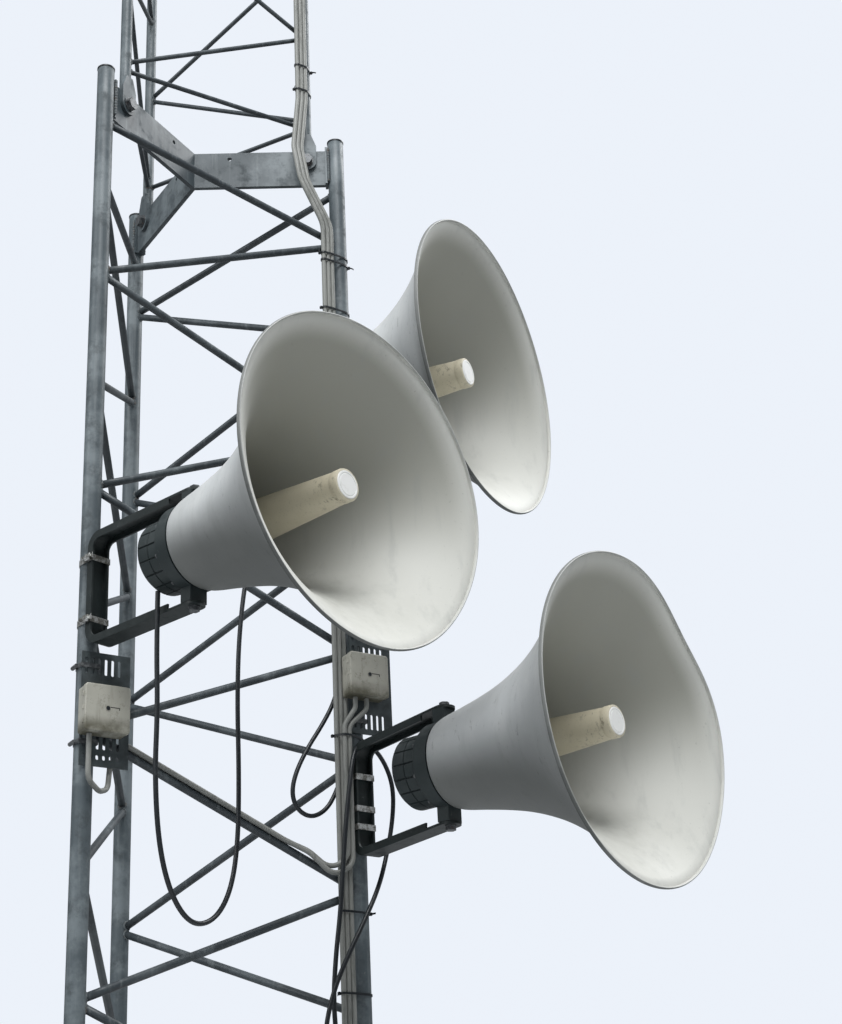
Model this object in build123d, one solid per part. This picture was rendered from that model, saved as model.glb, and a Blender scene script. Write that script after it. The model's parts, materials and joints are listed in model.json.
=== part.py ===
from build123d import *
import math
import os

# Driving dimensions, in millimetres and degrees. The origin is on the underside of the
# left leg's foot, X runs from the left leg to the right leg, Y towards the back leg, Z up.
LEG_SPACING = 570.0
LEG_R = 18.25
LEG_WALL = 3.0
FOOT_T = 12.0
FOOT_R = 70.0
LEG_TOP = 4112.0
BAR_R = 7.75
WELD_GAP = 0.3
BAR_SPREAD = 1.3
BAY = 490.0
BAY_OFFSET = 234.0
LOWER_NODE_0 = 3598.0
LOWER_BAYS = 7
FIRST_LEFT_NODE = 3976.0
FIRST_RIGHT_NODE = 3832.0
BASE_RING_Z = 112.0

UPPER_RATIO = 0.795
UPPER_LEG_R = 12.5
UPPER_WALL = 2.5
UPPER_BAR_R = 5.25
UPPER_RING_Z = 4157.0
UPPER_NODE_0 = 4177.0
UPPER_BAYS = 4
UPPER_TOP = 6170.0

ARM_T = 10.0
ARM_Z0 = 3996.0
ARM_Z1 = 4090.0
LUG_T = 8.0
LUG_W = 46.0
LUG_BOLT_Z = 4058.0
LUG_Z1 = 4100.0
LUG_TOP = 4134.0
CLEAT_T = 6.0
CLEAT_W = 26.0
JOINT_BOLT_R = 8.0
JOINT_HEAD_R = 14.0
JOINT_HEAD_H = 10.0
JOINT_NUT_H = 13.0
JOINT_WASHER_R = 16.0
JOINT_WASHER_T = 2.5
BOLT_PLAY = 0.4

# Lengths along a horn are from its pivot axis, forwards.
NECK_X = 11.0
BELL_LENGTH = 400.0
BELL_T = 3.0
RIM_R = 4.0
# Outer radius of the bell at shares of its length behind the mouth.
FLARE = (
    (0.0, 295.0), (0.045, 271.0), (0.095, 248.0), (0.155, 224.0), (0.225, 200.0), (0.3, 178.0),
    (0.3875, 156.5), (0.4875, 137.0), (0.6, 120.0), (0.725, 106.5), (0.85, 96.0), (0.9625, 87.0),
    (0.9875, 84.0), (1.0, 77.0),
)
LIP_R = 62.0
LIP_PLAY = 2.0
RING_R = 82.0
RING_X0 = -14.0
DRIVER_R = 70.0
DRIVER_FLANGE_R = 78.0
DRIVER_FLANGE_T = 8.0
DRIVER_X0 = -85.0
SPIGOT_L = 12.0
RIB_COUNT = 16
RIB_W = 18.0
TUBE_CAP_R = 29.5
TUBE_TIP_R = 28.5
TUBE_ROOT_R = 46.0
TUBE_RECESS = 40.0
TUBE_CAP_L = 18.0
TUBE_BASE_T = 4.0
TUBE_BASE_PLAY = 1.0
EAR_W = 40.0
ARM_IN = 98.0
EAR_PLAY = 0.5
PIVOT_R = 5.0
PIVOT_PLAY = 0.2
PIVOT_HEAD_R = 9.8
PIVOT_HEAD_H = 7.0
PIVOT_WASHER_R = 11.0
PIVOT_WASHER_T = 2.0

YOKE_W = 40.0
YOKE_DEPTH = 15.0
YOKE_T = 4.0
TIP_T = 5.0
TIP_L = 50.0
YOKE_BEND_R = 16.0
YOKE_REACH = 301.0
SHORT_REACH = 205.0
SADDLE_T = 26.0
SADDLE_W = 30.0
YOKE_TIP = 20.0

BAND_W = 12.0
BAND_T = 1.2

BOX_W = 86.0
BOX_H = 88.0
BOX_BASE_D = 24.0
BOX_LID_D = 12.0
LID_LAP = 1.0
PLATE_W = 95.0
PLATE_T = 3.0
PLATE_H = 218.0
PLATE_SHIFT = 31.0
SLOT_W = 6.0
SLOT_H = 32.0
SLOT_PITCH = 13.0
STRAP_W = 9.0
STRAP_T = 1.0
STRAP_HALF = 17.6

# Each plate: its leg, its bottom edge, whether its close rows are at the top, the two
# strap heights and the centre of its box, across and up.
PLATE_LEFT = ("left", 2543.0, False, (2588.0, 2734.0), (22.0, 2643.0))
PLATE_RIGHT = ("right", 2674.0, True, (2701.0, 2800.0), (8.0, 2788.0))
PLATE_UPPER = ("upper right", 5662.0, False, (5706.0, 5848.0), (-6.0, 5762.0))

CABLE_R = 5.0
# How far below a junction box its cables begin.
CABLE_DROP = 1.5
CORD_R = 4.5
GREY_Y = -16.5
CHAIN_Y = -30.2
BLACK_Y = -26.5
BLACK_TOP = 1820.0
CABLE_END = 45.0
TIE_T = 1.6
TIE_W = 4.0
PITCH = 10.5

SIDE = LEG_SPACING
HEIGHT = SIDE * math.sqrt(3.0) / 2.0
LEGS = {
    "left": (0.0, 0.0),
    "right": (SIDE, 0.0),
    "back": (SIDE / 2.0, HEIGHT),
}
CENTRE = (SIDE / 2.0, HEIGHT / 3.0)
# The side of its arm that each upper leg's lug lies on, as seen along the arm.
LUG_SIDE = {"left": 1.0, "right": -1.0, "back": 1.0}
FACES = {"front": ("left", "right"), "right": ("right", "back"), "left": ("back", "left")}

# Each yoke: its leg, its direction, its height, its reach from the leg's centre and the
# saddle that holds it off the leg. Each horn's aim is the direction it faces at rest.
YOKE_A = ("left", -73.6, 2882.0, YOKE_REACH, 0.0)
YOKE_B = ("right", -142.0, 3292.0, SHORT_REACH, SADDLE_T)
YOKE_C = ("right", -85.5, 2534.0, YOKE_REACH, 0.0)
AIM_A = -71.7
AIM_B = -59.4
AIM_C = -69.7
CLAMPS_A = (-62.0, 62.0)
CLAMPS_B = (-70.0, -5.0)
CLAMPS_C = (-53.0, -17.0, 47.0)


def rod(start, end, radius):
    """A round bar between two points."""
    a = Vector(*start)
    b = Vector(*end)
    plane = Plane(origin=a, z_dir=(b - a).normalized())
    return plane * Cylinder(radius, (b - a).length, align=(Align.CENTER, Align.CENTER, Align.MIN))


def upright(x, y, z0, z1, radius):
    """A round bar standing at x, y from z0 to z1."""
    return Pos(x, y, z0) * Cylinder(radius, z1 - z0, align=(Align.CENTER, Align.CENTER, Align.MIN))


def tube(x, y, z0, z1, radius, wall):
    """A round tube standing at x, y from z0 to z1."""
    return upright(x, y, z0, z1, radius) - upright(x, y, z0 - 1.0, z1 + 1.0, radius - wall)


def block(x0, x1, y0, y1, z0, z1):
    """A box given by its limits."""
    centre = Pos((x0 + x1) / 2.0, (y0 + y1) / 2.0, (z0 + z1) / 2.0)
    return centre * Box(x1 - x0, y1 - y0, z1 - z0)


def polar(centre, azimuth, distance):
    """The plan point at a distance and direction from another."""
    angle = math.radians(azimuth)
    return (centre[0] + distance * math.cos(angle), centre[1] + distance * math.sin(angle))


def save(name, shapes):
    """Write one node: its solids as they stand, without fusing them."""
    solids = []
    for shape in shapes:
        solids.extend(shape.solids())
    node = Compound(children=solids) if len(solids) > 1 else solids[0]
    export_step(node, os.path.join("parts", name + ".step"))


def upper_leg(name):
    """Plan position of an upper leg, over the joint plate's arm."""
    x, y = LEGS[name]
    dx, dy = x - CENTRE[0], y - CENTRE[1]
    return (CENTRE[0] + dx * UPPER_RATIO, CENTRE[1] + dy * UPPER_RATIO)


def post(leg):
    """Plan position and radius of the leg that a plate is strapped to."""
    if leg == "upper right":
        return upper_leg("right") + (UPPER_LEG_R,)
    return LEGS[leg] + (LEG_R,)


def arm_azimuth(name):
    """Direction of a joint plate arm, from the centre to its leg."""
    x, y = LEGS[name]
    return math.degrees(math.atan2(y - CENTRE[1], x - CENTRE[0]))


def zigzag(a, b, heights, ring_heights, bar_r, leg_r):
    """Bars of one mast face: heights alternate between the legs a and b."""
    bars = []
    for k in range(len(heights) - 1):
        first, second = (a, b) if k % 2 == 0 else (b, a)
        z0, z1 = heights[k], heights[k + 1]
        spread = BAR_SPREAD if z1 > z0 else -BAR_SPREAD
        bars.append(((first[0], first[1], z0 + spread), (second[0], second[1], z1 - spread)))
    for z in ring_heights:
        bars.append(((a[0], a[1], z), (b[0], b[1], z)))
    cut_r = leg_r + WELD_GAP
    low = min(heights + ring_heights) - 200.0
    high = max(heights + ring_heights) + 200.0
    cutters = [upright(a[0], a[1], low, high, cut_r), upright(b[0], b[1], low, high, cut_r)]
    solids = []
    for start, end in bars:
        trimmed = rod(start, end, bar_r) - cutters[0] - cutters[1]
        solids.append(max(trimmed.solids(), key=lambda solid: solid.volume))
    return solids


def feet():
    """Round foot flanges with gussets, one under each lower leg."""
    solids = []
    for x, y in LEGS.values():
        foot = upright(x, y, 0.0, FOOT_T, FOOT_R)
        for k in range(4):
            hx, hy = polar((x, y), 45.0 + 90.0 * k, 52.0)
            foot -= upright(hx, hy, -1.0, FOOT_T + 1.0, 7.0)
            rib = Polyline((LEG_R + WELD_GAP, FOOT_T), (62.0, FOOT_T), (LEG_R + WELD_GAP, 62.0), close=True)
            web = Plane.XZ * make_face(rib)
            rib_solid = extrude(web, amount=3.0, both=True)
            foot += Pos(x, y, 0.0) * Rot(0, 0, 90.0 * k) * rib_solid
        solids.append(foot)
    return solids


def caps():
    """Domed plugs on the six open leg ends."""
    solids = []
    for name in LEGS:
        x, y = LEGS[name]
        solids.append(upright(x, y, LEG_TOP, LEG_TOP + 3.0, LEG_R + 1.0))
        ux, uy = upper_leg(name)
        solids.append(upright(ux, uy, UPPER_TOP, UPPER_TOP + 3.0, UPPER_LEG_R + 1.0))
    return solids


def joint_plate():
    """The Y of three upright flat bars that joins the two sections."""
    reach = SIDE / math.sqrt(3.0) - LEG_R - WELD_GAP
    lug_x = UPPER_RATIO * SIDE / math.sqrt(3.0)
    plate = None
    for name in LEGS:
        arm = block(0.0, reach, -ARM_T / 2.0, ARM_T / 2.0, ARM_Z0, ARM_Z1)
        arm += block(reach - CLEAT_T, reach, -CLEAT_W / 2.0, CLEAT_W / 2.0, ARM_Z0, ARM_Z1 + 6.0)
        arm -= Pos(reach * 0.27, 0, ARM_Z1 - 17.0) * Rot(90, 0, 0) * Cylinder(5.0, 30.0)
        arm -= Pos(lug_x, 0, LUG_BOLT_Z) * Rot(90, 0, 0) * Cylinder(JOINT_BOLT_R + BOLT_PLAY, 30.0)
        arm = Pos(CENTRE[0], CENTRE[1], 0) * Rot(0, 0, arm_azimuth(name)) * arm
        plate = arm if plate is None else plate + arm
    return [plate]


def upper_leg_solid(name):
    """An upper leg: a tube whose foot is pressed into a rounded lug beside the arm."""
    offset = LUG_SIDE[name] * (ARM_T + LUG_T) / 2.0
    lug_face = Polyline(
        (-LUG_W / 2.0, LUG_BOLT_Z), (LUG_W / 2.0, LUG_BOLT_Z), (LUG_W / 2.0, LUG_Z1),
        (UPPER_LEG_R - 2.0, LUG_TOP), (2.0 - UPPER_LEG_R, LUG_TOP), (-LUG_W / 2.0, LUG_Z1), close=True,
    )
    lug = extrude(Plane.XZ * make_face(lug_face), amount=LUG_T / 2.0, both=True)
    lug += Pos(0, 0, LUG_BOLT_Z) * Rot(90, 0, 0) * Cylinder(LUG_W / 2.0, LUG_T)
    lug -= Pos(0, 0, LUG_BOLT_Z) * Rot(90, 0, 0) * Cylinder(JOINT_BOLT_R + BOLT_PLAY, 30.0)
    leg = upright(0, 0, LUG_Z1, UPPER_TOP, UPPER_LEG_R)
    leg -= upright(0, 0, LUG_TOP + 10.0, UPPER_TOP + 1.0, UPPER_LEG_R - UPPER_WALL)
    ux, uy = upper_leg(name)
    return Pos(ux, uy, 0) * Rot(0, 0, arm_azimuth(name)) * (leg + Pos(0, offset, 0) * lug)


def hex_head(radius, height):
    """A hexagonal head or nut, flat side down, by its corner radius."""
    return extrude(RegularPolygon(radius, 6), amount=height)


def joint_bolts():
    """One hex bolt and nut through each lug and arm."""
    solids = []
    near = ARM_T / 2.0 + LUG_T
    far = -ARM_T / 2.0
    for name in LEGS:
        bolt = upright(0, 0, far - JOINT_NUT_H - 5.0, near + JOINT_WASHER_T, JOINT_BOLT_R)
        bolt += upright(0, 0, near, near + JOINT_WASHER_T, JOINT_WASHER_R)
        bolt += Pos(0, 0, near + JOINT_WASHER_T) * hex_head(JOINT_HEAD_R, JOINT_HEAD_H)
        bolt += Pos(0, 0, far - JOINT_NUT_H) * hex_head(JOINT_HEAD_R, JOINT_NUT_H)
        ux, uy = upper_leg(name)
        turned = Rot(-90.0 * LUG_SIDE[name], 0, 0) * bolt
        solids.append(Pos(ux, uy, LUG_BOLT_Z) * Rot(0, 0, arm_azimuth(name)) * turned)
    return solids


def yoke_place(yoke):
    """Location whose X runs from the leg out along the yoke, at the horn's height."""
    x, y = LEGS[yoke[0]]
    return Pos(x, y, yoke[2]) * Rot(0, 0, yoke[1])


def pivot_point(yoke):
    """The horn's pivot point on its own axis."""
    x, y = polar(LEGS[yoke[0]], yoke[1], yoke[3])
    return (x, y, yoke[2])


def yoke_outline(inset, reach, saddle):
    """Side view of the bent channel, a U lying open towards the horn."""
    web = LEG_R + WELD_GAP + saddle
    x0 = web + inset
    z1 = ARM_IN + YOKE_DEPTH - inset
    x1 = reach + YOKE_TIP
    outer = Polyline((x1, -z1), (x0, -z1), (x0, z1), (x1, z1), close=True)
    outer_face = fillet(make_face(outer).vertices().group_by(Axis.X)[0], YOKE_BEND_R + YOKE_DEPTH - inset)
    xi = web + YOKE_DEPTH
    inner = Polyline((x1 + 1.0, -ARM_IN), (xi, -ARM_IN), (xi, ARM_IN), (x1 + 1.0, ARM_IN), close=True)
    inner_face = fillet(make_face(inner).vertices().group_by(Axis.X)[0], YOKE_BEND_R)
    return outer_face - inner_face


def yoke(place, reach, saddle):
    """A bent channel bracket with a hole for the pivot bolt in each arm."""
    shell = extrude(Plane.XZ * yoke_outline(0.0, reach, saddle), amount=YOKE_W / 2.0, both=True)
    pocket = yoke_outline(YOKE_T, reach, saddle)
    hollow = extrude(Plane.XZ * pocket, amount=YOKE_W / 2.0 - YOKE_T, both=True)
    body = shell - hollow
    cut_z = ARM_IN + YOKE_DEPTH - TIP_T
    cut_x = reach - TIP_L
    slant = Polyline(
        (cut_x + 12.0, 0.0), (cut_x, cut_z), (600.0, cut_z), (600.0, -cut_z), (cut_x, -cut_z), close=True
    )
    body -= extrude(Plane.XZ * make_face(slant), amount=60.0, both=True)
    body += block(reach - TIP_L, reach + YOKE_TIP, -YOKE_W / 2.0, YOKE_W / 2.0, cut_z, cut_z + TIP_T)
    body += block(reach - TIP_L, reach + YOKE_TIP, -YOKE_W / 2.0, YOKE_W / 2.0, -cut_z - TIP_T, -cut_z)
    rounding = block(reach, reach + YOKE_TIP + 2.0, -40, 40, -200, 200)
    rounding -= Pos(reach, 0, 0) * Cylinder(YOKE_TIP, 500.0)
    body -= rounding
    body -= Pos(reach, 0, 0) * Cylinder(PIVOT_R + PIVOT_PLAY, 400.0)
    return place * body


def pivot_bolts(place, reach):
    """The two hex bolts on one vertical axis that the horn pans about."""
    solids = []
    tip_z = RING_R - 8.0
    top = ARM_IN + YOKE_DEPTH
    washer_z = top + PIVOT_WASHER_T
    for turn in (0.0, 180.0):
        shank = upright(0, 0, tip_z, washer_z, PIVOT_R)
        head = upright(0, 0, top, washer_z, PIVOT_WASHER_R)
        head += Pos(0, 0, washer_z) * hex_head(PIVOT_HEAD_R, PIVOT_HEAD_H)
        solids.append(place * Pos(reach, 0, 0) * Rot(turn, 0, 0) * (shank + head))
    return solids


def band_loop(saddle, grow):
    """Outline of a strap pulled tight round a leg and the channel on it."""
    x0 = LEG_R + WELD_GAP + saddle
    x1 = x0 + YOKE_DEPTH + grow
    half = YOKE_W / 2.0 + grow
    channel = Pos((x0 + x1) / 2.0, 0) * Rectangle(x1 - x0, 2.0 * half)
    return make_hull(Circle(LEG_R + grow).edges() + channel.edges())


def band_clamps(place, heights, saddle):
    """Stainless straps holding a yoke's web against its leg or its saddle."""
    solids = []
    for z in heights:
        outer = extrude(band_loop(saddle, WELD_GAP + BAND_T), amount=BAND_W / 2.0, both=True)
        inner = extrude(band_loop(saddle, WELD_GAP), amount=BAND_W, both=True)
        solids.append(place * Pos(0, 0, z) * (outer - inner))
    return solids


def saddles(place, heights, saddle):
    """Blocks between the leg and a yoke that is held off it."""
    solids = []
    for z in heights:
        x1 = LEG_R + saddle
        piece = block(0.0, x1, -SADDLE_W / 2.0, SADDLE_W / 2.0, z - 12.0, z + 12.0)
        piece -= upright(0, 0, z - 20.0, z + 20.0, LEG_R + WELD_GAP)
        solids.append(place * piece)
    return solids


def horn_place(yoke, aim):
    """Location whose X runs forward along the horn's axis from its pivot point."""
    return Pos(*pivot_point(yoke)) * Rot(0, 0, aim)


def bell(place):
    """The flared shell with a rolled rim and an inturned lip at the neck."""
    mouth_x = NECK_X + BELL_LENGTH
    outer = [(mouth_x - BELL_LENGTH * share, radius) for share, radius in FLARE]
    inner = [(x, radius - BELL_T) for x, radius in outer[:-2]]
    lip = [(NECK_X, LIP_R), (NECK_X + BELL_T, LIP_R), (NECK_X + BELL_T, outer[-1][1] - BELL_T)]
    outline = outer + lip + inner[::-1]
    shell = revolve(Plane.XY * make_face(Polyline(*outline, close=True)), axis=Axis.X)
    rim = Pos(mouth_x, 0, 0) * Rot(0, 90, 0) * Torus(outer[0][1], RIM_R)
    return place * (shell + rim)


def horn_tube(place):
    """The tapered inner tube with its flat cap, standing on a flange in the neck."""
    base_x = NECK_X + BELL_T
    base_r = FLARE[-1][1] - BELL_T - TUBE_BASE_PLAY
    tip_x = NECK_X + BELL_LENGTH - TUBE_RECESS
    outline = [
        (base_x, 0.0), (base_x, base_r), (base_x + TUBE_BASE_T, base_r),
        (base_x + TUBE_BASE_T, TUBE_ROOT_R), (tip_x - TUBE_CAP_L, TUBE_TIP_R),
        (tip_x - TUBE_CAP_L, TUBE_CAP_R), (tip_x - 2.0, TUBE_CAP_R), (tip_x, TUBE_CAP_R - 2.0),
        (tip_x, 0.0),
    ]
    return place * revolve(Plane.XY * make_face(Polyline(*outline, close=True)), axis=Axis.X)


def neck_ring(place):
    """The clamp ring behind the bell with its two pivot ears."""
    start = Pos(RING_X0, 0, 0) * Rot(0, 90, 0)
    ring = start * Cylinder(RING_R, NECK_X - RING_X0, align=(Align.CENTER, Align.CENTER, Align.MIN))
    ear_top = ARM_IN + YOKE_DEPTH - TIP_T - EAR_PLAY
    for turn in (0.0, 180.0):
        ear = block(RING_X0, NECK_X, -EAR_W / 2.0, EAR_W / 2.0, RING_R - 16.0, ear_top)
        ring += Rot(turn, 0, 0) * ear
    ring -= Rot(0, 90, 0) * Cylinder(LIP_R, 200.0)
    ring -= Cylinder(PIVOT_R + PIVOT_PLAY, 400.0)
    return place * ring


def driver(place):
    """The compression driver: a ribbed drum with a front flange and a spigot."""
    flange_x = RING_X0 - DRIVER_FLANGE_T
    spigot_r = LIP_R - LIP_PLAY
    outline = [
        (DRIVER_X0, 0.0), (DRIVER_X0, DRIVER_R - 12.0), (DRIVER_X0 + 8.0, DRIVER_R - 4.0),
        (flange_x - 3.0, DRIVER_R - 4.0), (flange_x, DRIVER_R - 10.0),
        (flange_x, DRIVER_FLANGE_R), (RING_X0, DRIVER_FLANGE_R), (RING_X0, spigot_r),
        (RING_X0 + SPIGOT_L, spigot_r), (RING_X0 + SPIGOT_L, 0.0),
    ]
    drum = revolve(Plane.XY * make_face(Polyline(*outline, close=True)), axis=Axis.X)
    rib = block(DRIVER_X0 + 10.0, flange_x - 4.0, -RIB_W / 2.0, RIB_W / 2.0, DRIVER_R - 12.0, DRIVER_R - 1.0)
    for k in range(RIB_COUNT):
        drum += Rot(360.0 / RIB_COUNT * k, 0, 0) * rib
    return place * drum


def slotted_plate(plate):
    """A perforated mounting plate with rows of upright slots."""
    leg, z0, turned, straps = plate[:4]
    x, y, radius = post(leg)
    back = y - radius - WELD_GAP
    z1 = z0 + PLATE_H
    x0 = x + PLATE_SHIFT - PLATE_W / 2.0
    body = block(x0, x0 + PLATE_W, back - PLATE_T, back, z0, z1)
    rows = [(z0 + 17.0, 9.0), (z0 + 48.0, SLOT_H), (z1 - 27.0, SLOT_H)]
    if turned:
        rows = [(z0 + 27.0, SLOT_H), (z1 - 48.0, SLOT_H), (z1 - 17.0, 9.0)]
    for z, height in rows:
        slot = SlotOverall(height, SLOT_W, rotation=90)
        cutter = extrude(Plane.XZ * slot, amount=PLATE_T * 4.0, both=True)
        for k in range(6):
            body -= Pos(x + 5.0 + (k - 1) * SLOT_PITCH, back, z) * cutter
    for z in straps:
        body -= block(x + STRAP_HALF - 2.6, x + STRAP_HALF + 3.4, back - 10.0, back + 10.0, z - 8.0, z + 8.0)
    return body


def box_origin(plate):
    """Centre of a box across and up, and the Y of its back."""
    x, y, radius = post(plate[0])
    return (x + plate[4][0], y - radius - PLATE_T - 2 * WELD_GAP, plate[4][1])


def junction_box(plate):
    """Base of a junction box, open at the front, with a groove for any strap behind it."""
    x, back, z = box_origin(plate)
    half_w = BOX_W / 2.0
    half_h = BOX_H / 2.0
    front = back - BOX_BASE_D
    body = block(-half_w, half_w, front, back, -half_h, half_h)
    body = fillet(body.edges().filter_by(Axis.Y), 5.0)
    body -= block(-half_w + 3, half_w - 3, front - 1.0, back - 3.0, -half_h + 3, half_h - 3)
    for strap_z in plate[3]:
        rise = strap_z - z
        groove = STRAP_T + 2 * WELD_GAP
        body -= block(-half_w - 1, half_w + 1, back - groove, back + 1, rise - STRAP_W, rise + STRAP_W)
    return Pos(x, 0, z) * body


def box_lid(plate):
    """Lid of a junction box with a turn lock in the middle."""
    x, back, z = box_origin(plate)
    back -= BOX_BASE_D
    front = back - BOX_LID_D
    half_w = BOX_W / 2.0 + LID_LAP
    half_h = BOX_H / 2.0 + LID_LAP
    lid = block(-half_w, half_w, front, back, -half_h, half_h)
    lid = fillet(lid.edges().filter_by(Axis.Y), 6.0)
    lid = fillet(lid.faces().sort_by(Axis.Y)[0].edges(), 2.5)
    lid -= block(-half_w + 4, half_w - 4, front + 3.0, back + 1.0, -half_h + 4, half_h - 4)
    lid += Pos(0, front, 0) * Rot(90, 0, 0) * Cylinder(5.0, 1.6)
    return Pos(x, 0, z) * lid


def strap_outline(radius, grow):
    """Outline of a strap round a leg and the strip of plate on its front."""
    front = -radius - WELD_GAP - PLATE_T - grow
    half = STRAP_HALF + grow
    strip = Pos(0, (front - radius) / 2.0) * Rectangle(2.0 * half, -radius - front)
    return make_hull(Circle(radius + grow).edges() + strip.edges())


def plate_straps(plate):
    """The two straps of one slotted plate, each with its screw housing."""
    x, y, radius = post(plate[0])
    solids = []
    for z in plate[3]:
        strap = extrude(strap_outline(radius, WELD_GAP + STRAP_T), amount=STRAP_W / 2.0, both=True)
        strap -= extrude(strap_outline(radius, WELD_GAP), amount=STRAP_W, both=True)
        screw_x = -radius - WELD_GAP - STRAP_T - 3.5
        screw = Pos(screw_x, 0, 0) * Rot(90, 0, 0) * Cylinder(4.0, 20.0)
        strap += screw - upright(0, 0, -20.0, 20.0, radius + WELD_GAP)
        solids.append(Pos(x, y, z) * strap)
    return solids


def cable(points, radius, bends):
    """A round cable through the given points, its corners rounded by the given radii."""
    path = FilletPolyline(*points, radius=bends)
    start = Plane(origin=path @ 0, z_dir=path % 0)
    return sweep(start * Circle(radius), path=path)


def low_x(k):
    """X of the grey cable k beside the right leg."""
    return LEGS["right"][0] - 48.5 + k * PITCH


def upper_cables():
    """Three grey cables from the upper box to the ground, held on the right legs."""
    solids = []
    ux, uy = upper_leg("right")
    box_bottom = PLATE_UPPER[4][1] - BOX_H / 2.0 - CABLE_DROP
    plate_bottom = PLATE_UPPER[1]
    for k in range(3):
        top_x = ux - 29.0 + k * PITCH
        x = low_x(k)
        points = [
            (top_x, uy - 27.0, box_bottom),
            (top_x, uy - 27.0, plate_bottom - 20.0),
            (top_x, uy + GREY_Y, plate_bottom - 80.0),
            (top_x, uy + GREY_Y, 4225.0),
            (x - 56.0, 12.0, 4080.0),
            (x - 48.0, -2.0, 3985.0),
            (x, GREY_Y, 3868.0),
            (x, GREY_Y, 3600.0),
            (x, -GREY_Y, 3520.0),
            (x, -GREY_Y, 3080.0),
            (x, GREY_Y, 3000.0),
            (x, GREY_Y, CABLE_END),
        ]
        bends = [60.0, 60.0, 70.0, 90.0, 90.0, 90.0, 80.0, 80.0, 80.0, 80.0]
        solids.append(cable(points, CABLE_R, bends))
    return solids


def chain_cables():
    """Two grey cables from the right box down the leg and along a brace to the left plate."""
    rx, ry = LEGS["right"]
    fall = BAY - BAY_OFFSET
    slope = math.atan2(fall, SIDE)
    bottom = PLATE_RIGHT[4][1] - BOX_H / 2.0 - CABLE_DROP
    # They lie on the highest falling bar that ends well below the box.
    bay = math.ceil((LOWER_NODE_0 - fall - bottom + 100.0) / BAY)
    top = LOWER_NODE_0 - bay * BAY

    def beside_bar(x, out, up):
        """A point at a distance in front of and square above the falling front bar."""
        return (x + up * math.sin(slope), -out, top - x * math.tan(slope) + up * math.cos(slope))

    solids = []
    routes = (
        ((495.0, -24.0, top - 224.0), (10.0, 15.5), (-1.4, 13.4), top - 200.0),
        ((500.0, -30.0, top - 238.0), (20.0, 9.0), (8.8, 10.3), top - 212.0),
    )
    for k in range(2):
        low, lift, lie, turn_z = routes[k]
        x = low_x(k + 1)
        entry = rx + PLATE_RIGHT[4][0] - 24.0 + k * 26.0
        points = [
            (entry, -38.0, bottom),
            (entry, -38.0, bottom - 22.0),
            (x, CHAIN_Y, bottom - 58.0),
            (x, CHAIN_Y, turn_z),
            low,
            beside_bar(450.0, *lift),
            beside_bar(400.0, *lie),
            beside_bar(66.0, *lie),
        ]
        solids.append(cable(points, CABLE_R, [20.0, 30.0, 30.0, 30.0, 60.0, 60.0]))
    return solids


def box_tail():
    """The grey cable that leaves the left box and turns up behind its plate."""
    x = PLATE_LEFT[4][0] - 27.0
    bottom = PLATE_LEFT[4][1] - BOX_H / 2.0 - CABLE_DROP
    points = [
        (x, -38.0, bottom),
        (x, -38.0, 2513.0),
        (x + 28.0, -24.0, 2496.0),
        (x + 50.0, -9.0, 2506.0),
        (x + 54.0, -9.0, 2560.0),
    ]
    return cable(points, CABLE_R, [22.0, 18.0, 18.0])


def black_x(k):
    """X of the black cable k that lies on the grey ones below the right yoke."""
    return low_x(k) + PITCH / 2.0


def black_cables():
    """The two black cables that run down in front of the grey ones."""
    return [upright(black_x(k), BLACK_Y, CABLE_END, BLACK_TOP, CORD_R) for k in range(2)]


def tie(centre, radius, z, cables):
    """A cable tie pulled tight round a leg and the cables on it."""
    outer = Circle(radius + TIE_T).edges()
    inner = Circle(radius).edges()
    for x, y in cables:
        place = Pos(x - centre[0], y - centre[1])
        outer += (place * Circle(CABLE_R + WELD_GAP + TIE_T)).edges()
        inner += (place * Circle(CABLE_R + WELD_GAP)).edges()
    band = extrude(make_hull(outer), amount=TIE_W / 2.0, both=True)
    band -= extrude(make_hull(inner), amount=TIE_W, both=True)
    return Pos(centre[0], centre[1], z) * band


def cable_ties():
    """All ties: on the right lower leg, and on the right upper leg."""
    low = [(low_x(k), GREY_Y) for k in range(3)]
    hidden = [(low_x(k), -GREY_Y) for k in range(3)]
    chain = [(low_x(k + 1), CHAIN_Y) for k in range(2)]
    black = [(black_x(k), BLACK_Y) for k in range(2)]
    held = [(3790.0, low), (3772.0, low), (3648.0, low), (3420.0, hidden), (3190.0, hidden)]
    held += [(2960.0, low), (2664.0, low + chain), (2318.0, low), (2165.0, low), (2095.0, low)]
    for z in (1790.0, 1500.0, 1250.0, 1010.0, 760.0, 520.0, 280.0):
        held.append((z, low + black))
    solids = [tie(LEGS["right"], LEG_R + WELD_GAP, z, cables) for z, cables in held]
    ux, uy = upper_leg("right")
    high = [(ux - 29.0 + k * PITCH, uy + GREY_Y) for k in range(3)]
    for z in (4250.0, 4320.0, 4600.0, 4850.0, 5100.0, 5340.0, 5560.0):
        solids.append(tie((ux, uy), UPPER_LEG_R + WELD_GAP, z, high))
    return solids


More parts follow.
